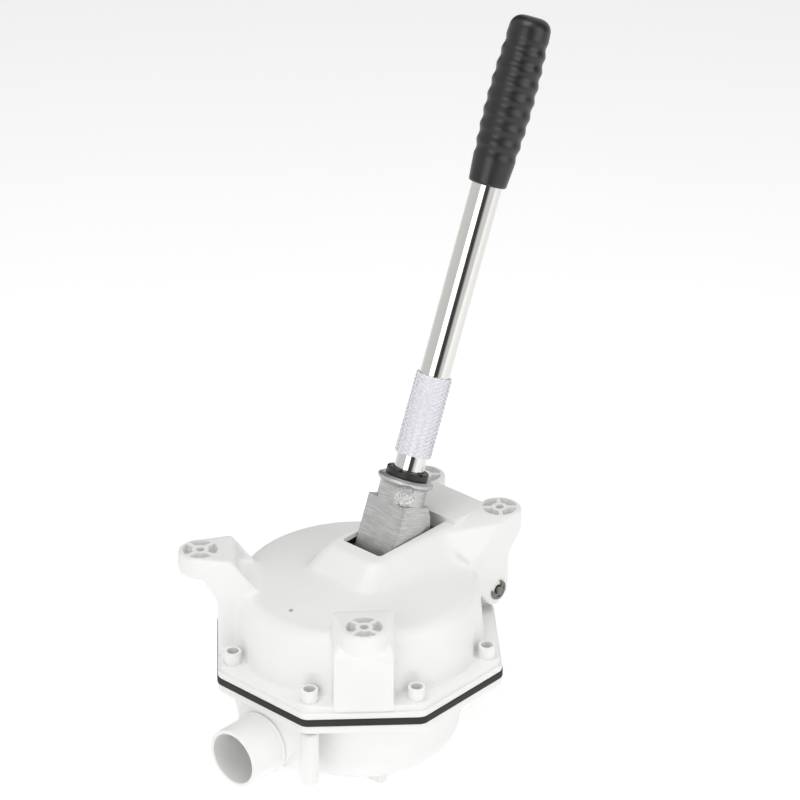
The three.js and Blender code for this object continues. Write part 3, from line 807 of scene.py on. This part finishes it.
# %% [markdown]
# ### Crisp features of the upper housing
#
# The stepped flange, the screw bosses, the deck plate between the rear ears, the slot, and the
# pockets of the ears have edges that a mould maker leaves sharp, so they are joined or cut after
# the rounding.

# %% Ear pockets
def ear_pockets(x, y, turn):
    ring = cut(post(POCKET["r"], 0, 8, steps=64), post(POCKET["hub"], -1, 9))
    long, thin = (-12, 12), (-POCKET["half_web"], POCKET["half_web"])
    quarters = cut(ring, block(long, thin, (-1, 9)), block(thin, long, (-1, 9)))
    floor_place = Matrix.Translation((x, y, EAR_TOP - POCKET["deep"]))
    place = floor_place @ Matrix.Rotation(turn, 4, "Z")
    return moved(quarters, place)


# %% Upper housing
def upper_housing():
    shell = soft_upper()
    crisp = [
        octagon(OCTAGON, (RIM, FLANGE_STEP), 0.5),
        octagon(OCTAGON - 3, (FLANGE_STEP - 0.6, FLANGE_TOP), 0.5),
        block((SLOT_X[1] - 3, 95), (-REAR_HALF, REAR_HALF), (HOOD_TOP - 2, EAR_TOP), 0.5),
    ]
    boss = (SCREW_BOSS_R, FLANGE_TOP - 1, SCREW_BOSS_TOP)
    crisp += [post(*boss, x, y, 0.5) for x, y in screw_places]
    shell = join(shell, *crisp)
    cavity = join(turned(body_outline(WALL, RIM - 1)), hood(WALL, 46), rear_box(WALL + 0.5))
    shroud = block(
        (SLOT_X[1], SLOT_X[1] + WALL), (-SLOT_HALF - 1, SLOT_HALF + 1), (SHROUD_Z, HOOD_TOP - 1)
    )
    shell = join(cut(shell, cavity), shroud)
    slot = block(SLOT_X, (-SLOT_HALF, SLOT_HALF), (HOOD_TOP - 8, EAR_TOP + 5))
    front = [e for e in edges_along(slot, 2) if abs(e.verts[0].co.x - SLOT_X[0]) < 0.1]
    soften(slot, front, 2.2, 5)
    slot_rear = block((SLOT_X[1] - 12, SLOT_X[1]), (-REAR_HALF, REAR_HALF), (HOOD_TOP, EAR_TOP + 1))
    hole = (SCREW_HOLE_R, RIM - 1, SCREW_SEAT + 1)
    mouth = (HEAD_ROOM_R, SCREW_SEAT, SCREW_BOSS_TOP + 1)
    holes = [post(*hole, x, y, steps=32) for x, y in screw_places]
    mouths = [post(*mouth, x, y, steps=40) for x, y in screw_places]
    ear_at = ARM_RADIUS * math.sqrt(0.5)
    pockets = []
    for side in (-1, 1):
        ears = ((-ear_at, side * ear_at, 0), (REAR_EAR[0], side * REAR_EAR[1], math.pi / 4))
        for x, y, turn in ears:
            bolt_hole = post(EAR_HOLE_R, EAR_BOTTOM - 5, EAR_TOP + 5, x, y, steps=32)
            pockets += [ear_pockets(x, y, turn), bolt_hole]
    bush_room = post(BUSH_ROOM["r"], -BUSH_ROOM["end"], BUSH_ROOM["end"])
    bush_bore = along_y(bush_room, PIVOT[0], 0, PIVOT[1])
    pin_hole = post(PIN_HOLE_R, -LUG_OUTER - 1, LUG_OUTER + 1)
    pin_bore = along_y(pin_hole, PIVOT[0], 0, PIVOT[1])
    vent = post(VENT[1], 40, 70, VENT[0], 0, steps=24)
    return cut(shell, slot, slot_rear, *holes, *mouths, *pockets, bush_bore, pin_bore, vent)


finish_piece("upper_housing_shell", upper_housing(), "white_plastic", "root", "upper_housing")

# %% [markdown]
# ## Lower housing
#
# The lower half is a deep bowl with a socket on each side for a hose spigot. Each socket is a
# boss that swells upwards into the flange, on a flat plate that ends in a round column on one
# side and tapers on the other. Three ribs under the bowl are its feet.

# %% Lower housing dimensions
BOWL_R = 66
BOWL_DEPTH = 62
FOOT = 72
RIB = 3.2
FRONT_RIB = (-21, 41.5)
REAR_RIB = (45, 24)
PORT_END = 113
COLLAR_R = 21.3
PORT_R = 19
PORT_WALL = 2.6
PORT_ROOT = 59
SOCKET_FACE = 84
INNER_END = 40
BRACE_X = 80
BOSS_RINGS = (
    (BRACE_X - 3, -17, 26),
    (BRACE_X + 2.6, -17, 25.4),
    (BRACE_X + 4, -19, 22),
    (86.5, -25.6, 20.4),
)
COLUMN = {"x": 78, "y": -31.6, "r": 5.8, "top": -9.8, "z": -47}


def bowl_outline(inset, z0):
    bend = arc(BOWL_R - 21, -BOWL_DEPTH + 20, 20 - inset, -8, -90, 16)
    return [(0, z0), (BOWL_R - inset, z0), *bend, (0, -BOWL_DEPTH + inset)]


# %% Lower housing
def foot_rib(x, half, top):
    return block((x - RIB, x + RIB), (-half, half), (-FOOT, top))


def socket_outside(side):
    top = -LOWER_FLANGE + 1
    brace_span = span_on(side, BRACE_X - WALL, BRACE_X)
    edge = [(COLUMN["y"], top), (COLUMN["y"], -45), (10, -45), (22.5, -38), (27, PORT_Z)]
    edge += [(33, COLUMN["top"]), (33, top)]
    brace = skin([(x, y, z) for y, z in edge for x in brace_span])
    tunnel = post(COLLAR_R, *span_on(side, INNER_END, BRACE_X), steps=96)
    along_x(tunnel, 0, 0, PORT_Z)
    rings = []
    for x, z, r in BOSS_RINGS:
        rings += [(side * x, py, pz) for py, pz in arc(0, z, r, 0, 352.5, 47)]
    boss = cut(skin(rings), block((-100, 100), (-40, 40), (top, 30)))
    column = post(COLUMN["r"], COLUMN["z"], COLUMN["top"], side * COLUMN["x"], COLUMN["y"])
    return join(brace, tunnel, boss, column)


def lower_housing():
    bowl = turned(bowl_outline(0, -LOWER_FLANGE + 1))
    slab = octagon(OCTAGON - 5, (-LOWER_FLANGE + 0.4, -0.5))
    ribs = [foot_rib(x, half, -BOWL_DEPTH + 5) for x, half in (FRONT_RIB, REAR_RIB)]
    ribs.append(block((FRONT_RIB[0], REAR_RIB[0]), (-RIB, RIB), (-FOOT, -BOWL_DEPTH + 2)))
    solid = join(bowl, slab, socket_outside(-1), socket_outside(1), *ribs)
    net = relax(even_net(solid, NET), 4)
    nut_rooms = [post(6, COLUMN["top"], -LOWER_FLANGE, x, y) for x, y in screw_places]
    solid = join(cut(net, *nut_rooms), octagon(OCTAGON, (-LOWER_FLANGE, 0), 0.6))
    cavity = turned(bowl_outline(WALL, 1))
    bores = []
    for side in (-1, 1):
        x0, x1 = span_on(side, INNER_END, PORT_END)
        bores.append(along_x(post(PORT_R + GAP, x0, x1, steps=96), 0, 0, PORT_Z))
    hole = (SCREW_HOLE_R, -LOWER_FLANGE - 1, 1)
    holes = [post(*hole, x, y, steps=32) for x, y in screw_places]
    return cut(solid, cavity, *bores, *holes)


finish_piece("lower_housing_bowl", lower_housing(), "white_plastic", "root", "lower_housing")

# %% [markdown]
# ## Hose spigots
#
# A spigot is a turned tube. Its rounded lip lets a hose slide on, and a small shoulder seats on
# the mouth of the socket.

# %% Spigots
def spigot(side):
    bore = PORT_R - PORT_WALL
    outline = [
        (bore, PORT_ROOT),
        (PORT_R, PORT_ROOT),
        (PORT_R, SOCKET_FACE + 2.6),
        (PORT_R + 0.8, SOCKET_FACE + 2.8),
        *arc(PORT_R + 0.4, SOCKET_FACE + 3.6, 0.5, 0, 70, 4),
        (PORT_R, SOCKET_FACE + 4.8),
        *arc(PORT_R - 0.8, PORT_END - 0.8, 0.8, 0, 90, 5),
        *arc(bore + 0.6, PORT_END - 0.6, 0.6, 90, 180, 4),
    ]
    bm = turned(outline, closed=True, steps=128)
    outwards = Matrix.Rotation(side * math.pi / 2, 4, "Y")
    return moved(bm, Matrix.Translation((0, 0, PORT_Z)) @ outwards)


for name, side in (("inlet", -1), ("outlet", 1)):
    finish_piece(f"{name}_hose_spigot", spigot(side), "white_plastic", "root", f"{name}_spigot")

# %% [markdown]
# ## Diaphragm
#
# The diaphragm is clamped between the flanges by its flat rim, which shows as a thin black line
# all round the pump. Inside, a rolled wall lets its middle rise and fall with the plates. The
# rim stays with the housings. The rest is made as twelve equal sectors, each spun from one
# closed section of the rolled sheet.

# %% Diaphragm
DISC = (6.7, 9.5)
SECTORS = 12
SHEET_R = 71.5
BOLT_HOLE_R = 4.4


def diaphragm_rim():
    rim = octagon(OCTAGON + 2 * RIM_PROUD, (0.02, RIM - 0.02), 0.45)
    holes = [post(SCREW_HOLE_R, -1, RIM + 1, x, y, steps=32) for x, y in screw_places]
    return cut(rim, post(SHEET_R, -1, RIM + 1, steps=128), *holes)


finish_piece("diaphragm_rim", diaphragm_rim(), "black_rubber", "root", "diaphragm")


def diaphragm_sector(index):
    """One sector of the rolled sheet, spun about Z from its closed section."""
    roll = [
        (SHEET_R, 0),
        (SHEET_R, RIM),
        (66, RIM),
        (62, 8),
        (57, 13),
        (51, 14),
        (46, 10.5),
        (42, DISC[1]),
        (BOLT_HOLE_R, DISC[1]),
        (BOLT_HOLE_R, DISC[0]),
        (43, DISC[0]),
        (47.5, 8),
        (51.5, 11),
        (56, 10.3),
        (60, 6),
        (65.5, 0),
    ]
    step = math.tau / SECTORS
    bm = bmesh.new()
    section = bm.faces.new([bm.verts.new((r, 0, z)) for r, z in roll])
    bmesh.ops.spin(
        bm, geom=[section], axis=(0, 0, 1), cent=(0, 0, 0), angle=step, steps=6, use_merge=False
    )
    tidy(bm)
    return moved(bm, Matrix.Rotation((index - 0.5) * step, 4, "Z"))


for index in range(SECTORS):
    sector = moved(diaphragm_sector(index), TO_FRAME)
    sheet = as_object(sector, f"diaphragm_sector_{index + 1}")
    shade_by_angle(sheet.data, 50)
    sheet.data.materials.append(black_rubber)
    angle = index * math.tau / SECTORS
    heading = Vector((math.cos(angle), math.sin(angle), 0))
    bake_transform(sheet)
print("diaphragm sectors", SECTORS)

# %% [markdown]
# ## Lever casting
#
# The lever is one casting: a neck with a lip, a square block that stands in the slot, an eye on
# the pivot pin and a slotted tongue that works the diaphragm. The block's upright edges are
# chamfered, and one corner of the neck has a scoop where the casting was dressed.

# %% Lever placement
HANDLE_FOOT = (42.32, 100)
ON_HANDLE = Matrix.Translation((HANDLE_FOOT[0], 0, HANDLE_FOOT[1])) @ Matrix.Rotation(
    HANDLE_LEAN, 4, "Y"
)
BLOCK_X = 13.5
BLOCK_Y = 15.2
BLOCK_TOP = -9
BLOCK_LONG = 47
ROD_PIN_Z = 36
NECK_R = 15.1
HEEL = [(46, 84), (50.2, 83.7), (51.6, 80), (52.2, 62), (40, 58)]
HEEL_HALF = 14.2
LEVER_EYE = {"r": 8.5, "half": 30.5}
SCOOP_AT = (-12.5, -12.5, -3)
SCOOP_SIZE = (5.2, 9.6, 7.2, 1)


def axis_point(s):
    """X and Z of the point s mm up the handle's axis."""
    across, up = math.sin(HANDLE_LEAN), math.cos(HANDLE_LEAN)
    return HANDLE_FOOT[0] + s * across, HANDLE_FOOT[1] + s * up


# %% Lever casting
def lever_block():
    bm = block((-BLOCK_X, BLOCK_X), (-BLOCK_Y, BLOCK_Y), (BLOCK_TOP - BLOCK_LONG, BLOCK_TOP))
    upright = edges_along(bm, 2)
    dressed = [e for e in upright if e.verts[0].co.y < 0]
    rounded = [e for e in upright if e.verts[0].co.y > 0]
    soften(bm, dressed, 1.7, 1)
    soften(bm, [e for e in rounded if e.is_valid], 0.8, 3)
    top = [e for e in sharp_edges(bm, 60) if min(v.co.z for v in e.verts) > BLOCK_TOP - 0.1]
    return soften(bm, top, 1.6, 3)


def lever_neck():
    """The neck under the lip, trimmed flush with the front and back of the block."""
    neck = turned(
        [
            (0, -14),
            (NECK_R, -14),
            (NECK_R, 0.4),
            (15.5, 1.3),
            *arc(17.2, 3.7, 0.5, -80, 0, 3),
            *arc(17.1, 4.8, 0.6, 0, 50, 3),
            (15.9, 6.1),
            (15.5, 6.4),
            (0, 6.4),
        ]
    )
    sides = [block(span_on(side, BLOCK_X, 20), (-20, 20), (-15, 0.6), 0.8) for side in (-1, 1)]
    return cut(neck, *sides)


def lever_casting():
    solid = moved(join(lever_neck(), lever_block()), ON_HANDLE)
    heel = plate(HEEL, (-HEEL_HALF, HEEL_HALF), 0.6)
    eye = post(LEVER_EYE["r"], -LEVER_EYE["half"], LEVER_EYE["half"], soft=0.8, steps=64)
    along_y(eye, PIVOT[0], 0, PIVOT[1])
    hip_x, hip_z = axis_point(-34)
    web = plate(
        [
            (PIVOT[0] - 7, PIVOT[1] - 8),
            (PIVOT[0] + 3, PIVOT[1] - 10),
            (PIVOT[0] + 8.5, PIVOT[1] + 3),
            (hip_x + 13, hip_z + 3),
            (hip_x - 12, hip_z - 4),
            (8, 46),
            (-12, 44),
            (-14, 40),
            (-14, 32),
            (-11, 29.5),
            (40, 29.5),
        ],
        (-7, 7),
        1.2,
    )
    solid = join(solid, heel, eye, web)
    tongue_slot = block((-10.1, 6.1), (-10, 10), (ROD_PIN_Z - 5.6, ROD_PIN_Z + 5.6))
    soften(tongue_slot, edges_along(tongue_slot, 1), 5.5, 8)
    socket = moved(post(11.5, -32, 12, steps=96), ON_HANDLE)
    pin_bore = along_y(post(5.3, -40, 40), PIVOT[0], 0, PIVOT[1])
    dressing = bmesh.new()
    bmesh.ops.create_icosphere(dressing, subdivisions=3, radius=1)
    place = Matrix.Translation(SCOOP_AT) @ Matrix.Rotation(math.radians(45), 4, "Z")
    moved(dressing, ON_HANDLE @ place @ Matrix.Diagonal(SCOOP_SIZE))
    return cut(solid, tongue_slot, socket, pin_bore, dressing)


finish_piece("lever", lever_casting(), "cast_aluminium", "lever", "lever_casting", smooth=32)

# %% [markdown]
# ## Socket bush
#
# A black nylon bush lines the socket. Its collar stands on the neck and is notched, so that it
# can be pulled out with the fingers.

# %% Socket bush
def socket_bush():
    bore = 9.5 + GAP
    bm = turned(
        [
            (bore, -28),
            (11.2, -28),
            (11.2, 6.7),
            *arc(12.9, 7.2, 0.5, -90, 0, 3),
            *arc(12.5, 10.4, 0.9, 0, 90, 5),
            *arc(bore + 0.5, 10.8, 0.5, 90, 180, 3),
        ],
        closed=True,
        steps=96,
    )
    notches = []
    for index in range(6):
        notch = block((10.8, 15), (-1.1, 1.1), (9.9, 12), 0.3)
        notches.append(moved(notch, Matrix.Rotation((index + 0.3) * math.tau / 6, 4, "Z")))
    return moved(cut(bm, *notches), ON_HANDLE)


finish_piece("lever_socket_bush", socket_bush(), "black_nylon", "lever", "socket_bush")

# %% [markdown]
# ## Handle tube
#
# The handle is a polished tube of one diameter, so it is a plain spun wall with its two ends
# broken by a small chamfer.

# %% Handle tube
TUBE_R = 9.5


def handle_tube():
    inner = TUBE_R - 1.5
    outline = [
        (inner, -30),
        (TUBE_R - 0.3, -30),
        (TUBE_R, -29.7),
        *[(TUBE_R, -29 + 325 * i / 12) for i in range(13)],
        (TUBE_R - 0.3, 296.3),
        (inner, 296.3),
    ]
    return moved(turned(outline, closed=True, steps=96), ON_HANDLE)


finish_piece("handle_tube_polished", handle_tube(), "polished_tube", "handle", "handle_tube")

# %% [markdown]
# ## Protective net
#
# The lower end of the tube wears a sleeve of knitted plastic net. Two sets of thin strands wind
# round it in opposite directions and pass over and under each other, and a thin film-like layer
# of flattened loops lies behind them. Each strand is a small ring that is spun with a rise, so
# that it draws a helix, and then waved in and out so that the strands cross.

# %% Net sleeve
NET_S = (20.5, 73.3)
STRANDS = 14
STRAND_R = 0.42
STRAND_AT = 11.05
STRAND_WAVE = 0.32


def net_strand(direction, start):
    """A thin round strand on a helix: a small ring is spun and lifted step by step."""
    bm = bmesh.new()
    turns = 1.35
    steps = 90
    ring = bmesh.ops.create_circle(bm, cap_ends=False, radius=STRAND_R, segments=5)["verts"]
    upright = Matrix.Rotation(math.pi / 2, 4, "X")
    start_place = Matrix.Translation((STRAND_AT, 0, NET_S[0] + 0.6)) @ upright
    bmesh.ops.transform(bm, matrix=start_place, verts=ring)
    rise = (NET_S[1] - NET_S[0] - 1.2) / steps
    edges = list(bm.edges)
    bmesh.ops.spin(
        bm,
        geom=edges,
        axis=(0, 0, 1),
        cent=(0, 0, 0),
        dvec=(0, 0, rise),
        angle=direction * math.tau * turns,
        steps=steps,
    )
    bmesh.ops.holes_fill(bm, edges=[e for e in bm.edges if e.is_boundary], sides=5)
    tidy(bm)
    crossings = 2 * STRANDS * turns
    length = NET_S[1] - NET_S[0]
    for vert in bm.verts:
        radius = math.hypot(vert.co.x, vert.co.y)
        phase = direction * math.cos(math.pi * crossings * (vert.co.z - NET_S[0]) / length)
        grown = (radius + STRAND_WAVE * phase) / radius
        vert.co.x *= grown
        vert.co.y *= grown
    return moved(bm, Matrix.Rotation(start, 4, "Z"))


def handle_net():
    bore = TUBE_R + GAP
    sleeve = turned(
        [
            (bore, NET_S[0] + 0.8),
            (10.7, NET_S[0] + 0.8),
            (10.75, NET_S[0] + 26),
            (10.7, NET_S[1] - 0.8),
            (bore, NET_S[1] - 0.8),
        ],
        closed=True,
        steps=64,
    )
    whole = bpy.data.meshes.new("net_parts")
    for direction in (-1, 1):
        for index in range(STRANDS):
            strand = net_strand(direction, index * math.tau / STRANDS)
            strand.to_mesh(whole)
            strand.free()
            sleeve.from_mesh(whole)
    bpy.data.meshes.remove(whole)
    return moved(sleeve, ON_HANDLE)


finish_piece("handle_net_sleeve", handle_net(), "white_net", "handle", "handle_net", smooth=60)

# %% [markdown]
# ## Grip
#
# The grip is turned too: a slim foot, a full middle and eight soft rings for the fingers. Its
# radius is a formula of the distance along the handle, and the outline is spun.

# %% Grip
GRIP = {"from": 195.6, "to": 301.5, "ribs": 8, "pitch": 9.6, "first_rib": 212, "deep": 0.9}


def grip_radius(s):
    t = (s - GRIP["from"]) / (GRIP["to"] - GRIP["from"])
    swell = 11.9 + 2.5 * math.sin(math.pi * min(1, t * 1.05)) + 0.9 * t
    ribs_end = GRIP["first_rib"] + GRIP["ribs"] * GRIP["pitch"]
    if not GRIP["first_rib"] < s < ribs_end:
        return swell
    wave = math.cos(math.tau * (s - GRIP["first_rib"]) / GRIP["pitch"]) - 1
    return swell + GRIP["deep"] * wave / 2


def handle_grip():
    bore = TUBE_R + GAP
    foot, end = GRIP["from"], GRIP["to"]
    dome_from = end - 8
    steps = 120
    along = [foot + 1 + (dome_from - foot - 1) * i / steps for i in range(steps + 1)]
    outside = [(grip_radius(s), s) for s in along]
    r = grip_radius(dome_from)
    angles = [math.radians(degrees) for degrees in range(10, 91, 8)]
    dome = [(r - 8 + 8 * math.cos(a), dome_from + 8 * math.sin(a)) for a in angles]
    outline = [
        (bore, foot),
        (grip_radius(foot) - 1.0, foot),
        (grip_radius(foot) - 0.3, foot + 0.35),
        *outside,
        *dome,
        (0, end),
    ]
    inside = [(0, end - 5), (bore, end - 5), (bore, foot)]
    return moved(turned([*outline, *inside], steps=96), ON_HANDLE)


finish_piece("handle_grip_ribbed", handle_grip(), "black_grip", "handle", "handle_grip", smooth=50)

# %% [markdown]
# ## Pivot pin and retaining clips
#
# The pin turns in nylon bushes inside both lugs. Its slim ends come out through the lug faces,
# and each is held by a spring clip in a groove. The clip is a flat ring open to one side, with
# three inner tongues that grip the groove.

# %% Pivot pin
PIN_R = 5
STUB_R = 3
STUB_FROM = 44
PIN_HALF = 48.4
GROOVE = {"r": 2.5, "y0": 46.1, "y1": 47.3}


def pivot_pin():
    half = [
        (PIN_R, STUB_FROM),
        (STUB_R, STUB_FROM),
        (STUB_R, GROOVE["y0"]),
        (GROOVE["r"], GROOVE["y0"]),
        (GROOVE["r"], GROOVE["y1"]),
        (STUB_R, GROOVE["y1"]),
        (STUB_R, PIN_HALF - 0.3),
        (STUB_R - 0.3, PIN_HALF),
        (0, PIN_HALF),
    ]
    outline = [(r, -y) for r, y in reversed(half)] + half
    return along_y(turned(outline, steps=64), PIVOT[0], 0, PIVOT[1])


finish_piece("pivot_pin_turned", pivot_pin(), "dark_steel", "root", "pivot_pin")


# %% Pivot bushes
def pivot_bush(side):
    bore = PIN_R + 0.15
    inner, outer = LUG_INNER - 0.5, BUSH["end"]
    ring = [(bore, inner), (BUSH["r"], inner), (BUSH["r"], outer), (bore, outer)]
    bm = turned([(r, side * y) for r, y in ring], closed=True, steps=64)
    return along_y(bm, PIVOT[0], 0, PIVOT[1])


for name, side in (("right", -1), ("left", 1)):
    bush = pivot_bush(side)
    finish_piece(f"pivot_sleeve_{name}", bush, "natural_nylon", "root", f"pivot_bush_{name}")


# %% Retaining clip
CLIP = {"bore": 4.6, "outer": 6.4, "thick": 1, "grip": 2.7, "mouth": 4.2}
CLIP_TURN = math.radians(-121)


def retaining_clip(opening):
    half = CLIP["thick"] / 2
    ring = post(CLIP["outer"], -half, half, soft=0.15, steps=96)
    room = post(CLIP["bore"], -1, 1, steps=64)
    mouth = block((0, CLIP["outer"] + 1), (-CLIP["mouth"], CLIP["mouth"]), (-1, 1))
    clip = cut(ring, room, mouth)
    for angle in (90, 180, 270):
        reach = (CLIP["grip"], CLIP["bore"] + 0.5)
        tongue = block(reach, (-1.2, 1.2), (0.02 - half, half - 0.02), 0.1)
        clip = join(clip, moved(tongue, Matrix.Rotation(math.radians(angle), 4, "Z")))
    return moved(clip, Matrix.Rotation(opening, 4, "Z"))


for name, side in (("right", -1), ("left", 1)):
    clip = retaining_clip(CLIP_TURN)
    along_y(clip, PIVOT[0], side * (GROOVE["y0"] + GROOVE["y1"]) / 2, PIVOT[1])
    finish_piece(f"pivot_spring_clip_{name}", clip, "dark_steel", "root", f"pivot_clip_{name}")

# %% [markdown]
# ## Flange screws and nuts
#
# Eight cap screws drop into the open bosses from above, so only their heads show, deep inside.
# A hexagon nut is drawn up on each under the lower flange.

# %% Screws and nuts
SCREW_R = 2
SCREW_HEAD_R = 3.3
NUT_R = 4.5
NUT_THICK = 3.2


def flange_screw(x, y):
    tip = -LOWER_FLANGE - NUT_THICK - 0.9
    head = SCREW_SEAT + 4
    outline = [
        (0, tip),
        (SCREW_R - 0.4, tip),
        (SCREW_R, tip + 0.4),
        (SCREW_R, SCREW_SEAT),
        (SCREW_HEAD_R, SCREW_SEAT),
        (SCREW_HEAD_R, head - 0.4),
        (SCREW_HEAD_R - 0.4, head),
        (0, head),
    ]
    hexagon = post(1.75, head - 2, head + 1, steps=6)
    return moved(cut(turned(outline, steps=40), hexagon), Matrix.Translation((x, y, 0)))


def flange_nut(x, y):
    base, top = -LOWER_FLANGE - NUT_THICK, -LOWER_FLANGE
    nut = post(NUT_R, base, top, steps=6)
    edge = NUT_R + 0.1
    outline = [(0, base), (NUT_R - 0.7, base), (edge, base + 0.5), (edge, top), (0, top)]
    shaped = combine("INTERSECT", nut, turned(outline, steps=48))
    hole = post(SCREW_R + GAP, base - 1, top + 1, steps=32)
    return moved(cut(shaped, hole), Matrix.Translation((x, y, 0)))


for index, (x, y) in enumerate(screw_places, start=1):
    for title, made, node in (
        ("cap_screw", flange_screw(x, y), "flange_screw"),
        ("hexagon_nut", flange_nut(x, y), "flange_nut"),
    ):
        finish_piece(f"{title}_{index}", made, "stainless_steel", "root", f"{node}_{index}")

# %% [markdown]
# ## CAD pieces that keep their shape
#
# The valves, the plates with their bolt, washer and nut, and the rod pin with its clip are right
# as they are. Each gets the finish of its own slot.

# %% Finishes for the CAD pieces
slot_of = {row["node"]: row["material_slot"] for row in frame["record"]["subparts"]}
for name, node in frame["nodes"].items():
    if not node.hide_render:
        node.data.materials.clear()
        node.data.materials.append(finishes[slot_of[name]])
        shade_by_angle(node.data, 30)

# %% [markdown]
# ## Floor and light
#
# A wide pale floor and a bright even surround give the soft light of a white studio. Polished
# metal would look flat with nothing dark to mirror, so the surround has a few dark upright bands
# that only glossy reflections meet.

# %% Floor
FLOOR_GLOW = 0.36

floor_bm = bmesh.new()
bmesh.ops.create_grid(floor_bm, x_segments=1, y_segments=1, size=6)
floor = as_object(floor_bm, "floor")
floor_finish = Finish("floor_paper", Roughness=0.9, Specular_IOR_Level=0.1)
paper = floor_finish.noise(3.0, 2.0)
floor_finish.wear(floor_finish.between(paper, (0.9, 0.9, 0.9), (0.93, 0.93, 0.93)))
floor_finish.shader.inputs["Emission Color"].default_value = (1, 1, 1, 1)
floor_finish.shader.inputs["Emission Strength"].default_value = FLOOR_GLOW
floor.data.materials.append(floor_finish.material)

# %% Surround
world = bpy.data.worlds.new("studio")
bpy.context.scene.world = world
world.use_nodes = True
nodes, links = world.node_tree.nodes, world.node_tree.links
nodes.clear()


def world_node(kind, settings=None, sockets=None):
    made = nodes.new(kind)
    for key, value in (settings or {}).items():
        setattr(made, key, value)
    for key, value in (sockets or {}).items():
        if isinstance(value, bpy.types.NodeSocket):
            links.new(value, made.inputs[key])
        else:
            made.inputs[key].default_value = value
    return made


heading = world_node("ShaderNodeTexCoord").outputs["Generated"]
split = world_node("ShaderNodeSeparateXYZ", None, {0: heading})
azimuth = world_node(
    "ShaderNodeMath", {"operation": "ARCTAN2"}, {0: split.outputs["Y"], 1: split.outputs["X"]}
)
turns = world_node(
    "ShaderNodeMath",
    {"operation": "MULTIPLY_ADD"},
    {0: azimuth.outputs[0], 1: 1 / math.tau, 2: 0.5},
)
bands = world_node("ShaderNodeValToRGB", None, {0: turns.outputs[0]})
BAND_STOPS = (
    (0.0, 0.9),
    (0.06, 1.0),
    (0.1, 0.08),
    (0.16, 0.08),
    (0.2, 1.0),
    (0.33, 1.0),
    (0.36, 0.12),
    (0.42, 0.12),
    (0.46, 0.8),
    (0.6, 0.9),
    (0.64, 0.1),
    (0.7, 0.1),
    (0.75, 1.0),
    (1.0, 0.9),
)
ramp = bands.color_ramp.elements
while len(ramp) < len(BAND_STOPS):
    ramp.new(0.5)
for element, (position, value) in zip(ramp, BAND_STOPS):
    element.position = position
    element.color = (value, value, value, 1)

EVEN_STRENGTH = 0.42
MIRRORED_STRENGTH = 0.8
SEEN_STRENGTH = 1.0


def background(colour, strength):
    return world_node("ShaderNodeBackground", None, {"Color": colour, "Strength": strength})


even = background((1, 1, 1, 1), EVEN_STRENGTH)
seen = background((1, 1, 1, 1), SEEN_STRENGTH)
mirrored = background(bands.outputs[0], MIRRORED_STRENGTH)
path = world_node("ShaderNodeLightPath")
glossy = world_node(
    "ShaderNodeMixShader",
    None,
    {0: path.outputs["Is Glossy Ray"], 1: even.outputs[0], 2: mirrored.outputs[0]},
)
whole = world_node(
    "ShaderNodeMixShader",
    None,
    {0: path.outputs["Is Camera Ray"], 1: glossy.outputs[0], 2: seen.outputs[0]},
)
world_node("ShaderNodeOutputWorld", None, {"Surface": whole.outputs[0]})

# %% Soft boxes
LOOK_AT = Vector((0.02, 0, 0.12))


def soft_box(name, azimuth, elevation, distance, size, watts):
    """A large square lamp that looks at the middle of the pump."""
    turn, lift = math.radians(azimuth), math.radians(elevation)
    place = LOOK_AT + distance * Vector(
        (math.cos(turn) * math.cos(lift), math.sin(turn) * math.cos(lift), math.sin(lift))
    )
    lamp = bpy.data.lights.new(name, "AREA")
    lamp.size = size
    lamp.energy = watts
    holder = bpy.data.objects.new(name, lamp)
    facing = (LOOK_AT - place).to_track_quat("-Z", "Y")
    holder.matrix_world = Matrix.Translation(place) @ facing.to_matrix().to_4x4()
    bpy.context.scene.collection.objects.link(holder)


soft_box("right_soft_box", -75, 24, 1.5, 1.0, 4.8)
soft_box("left_soft_box", 195, 22, 1.6, 1.0, 6)
soft_box("top_soft_box", 200, 80, 1.7, 1.0, 10.5)
bpy.context.scene.view_settings.view_transform = "Standard"
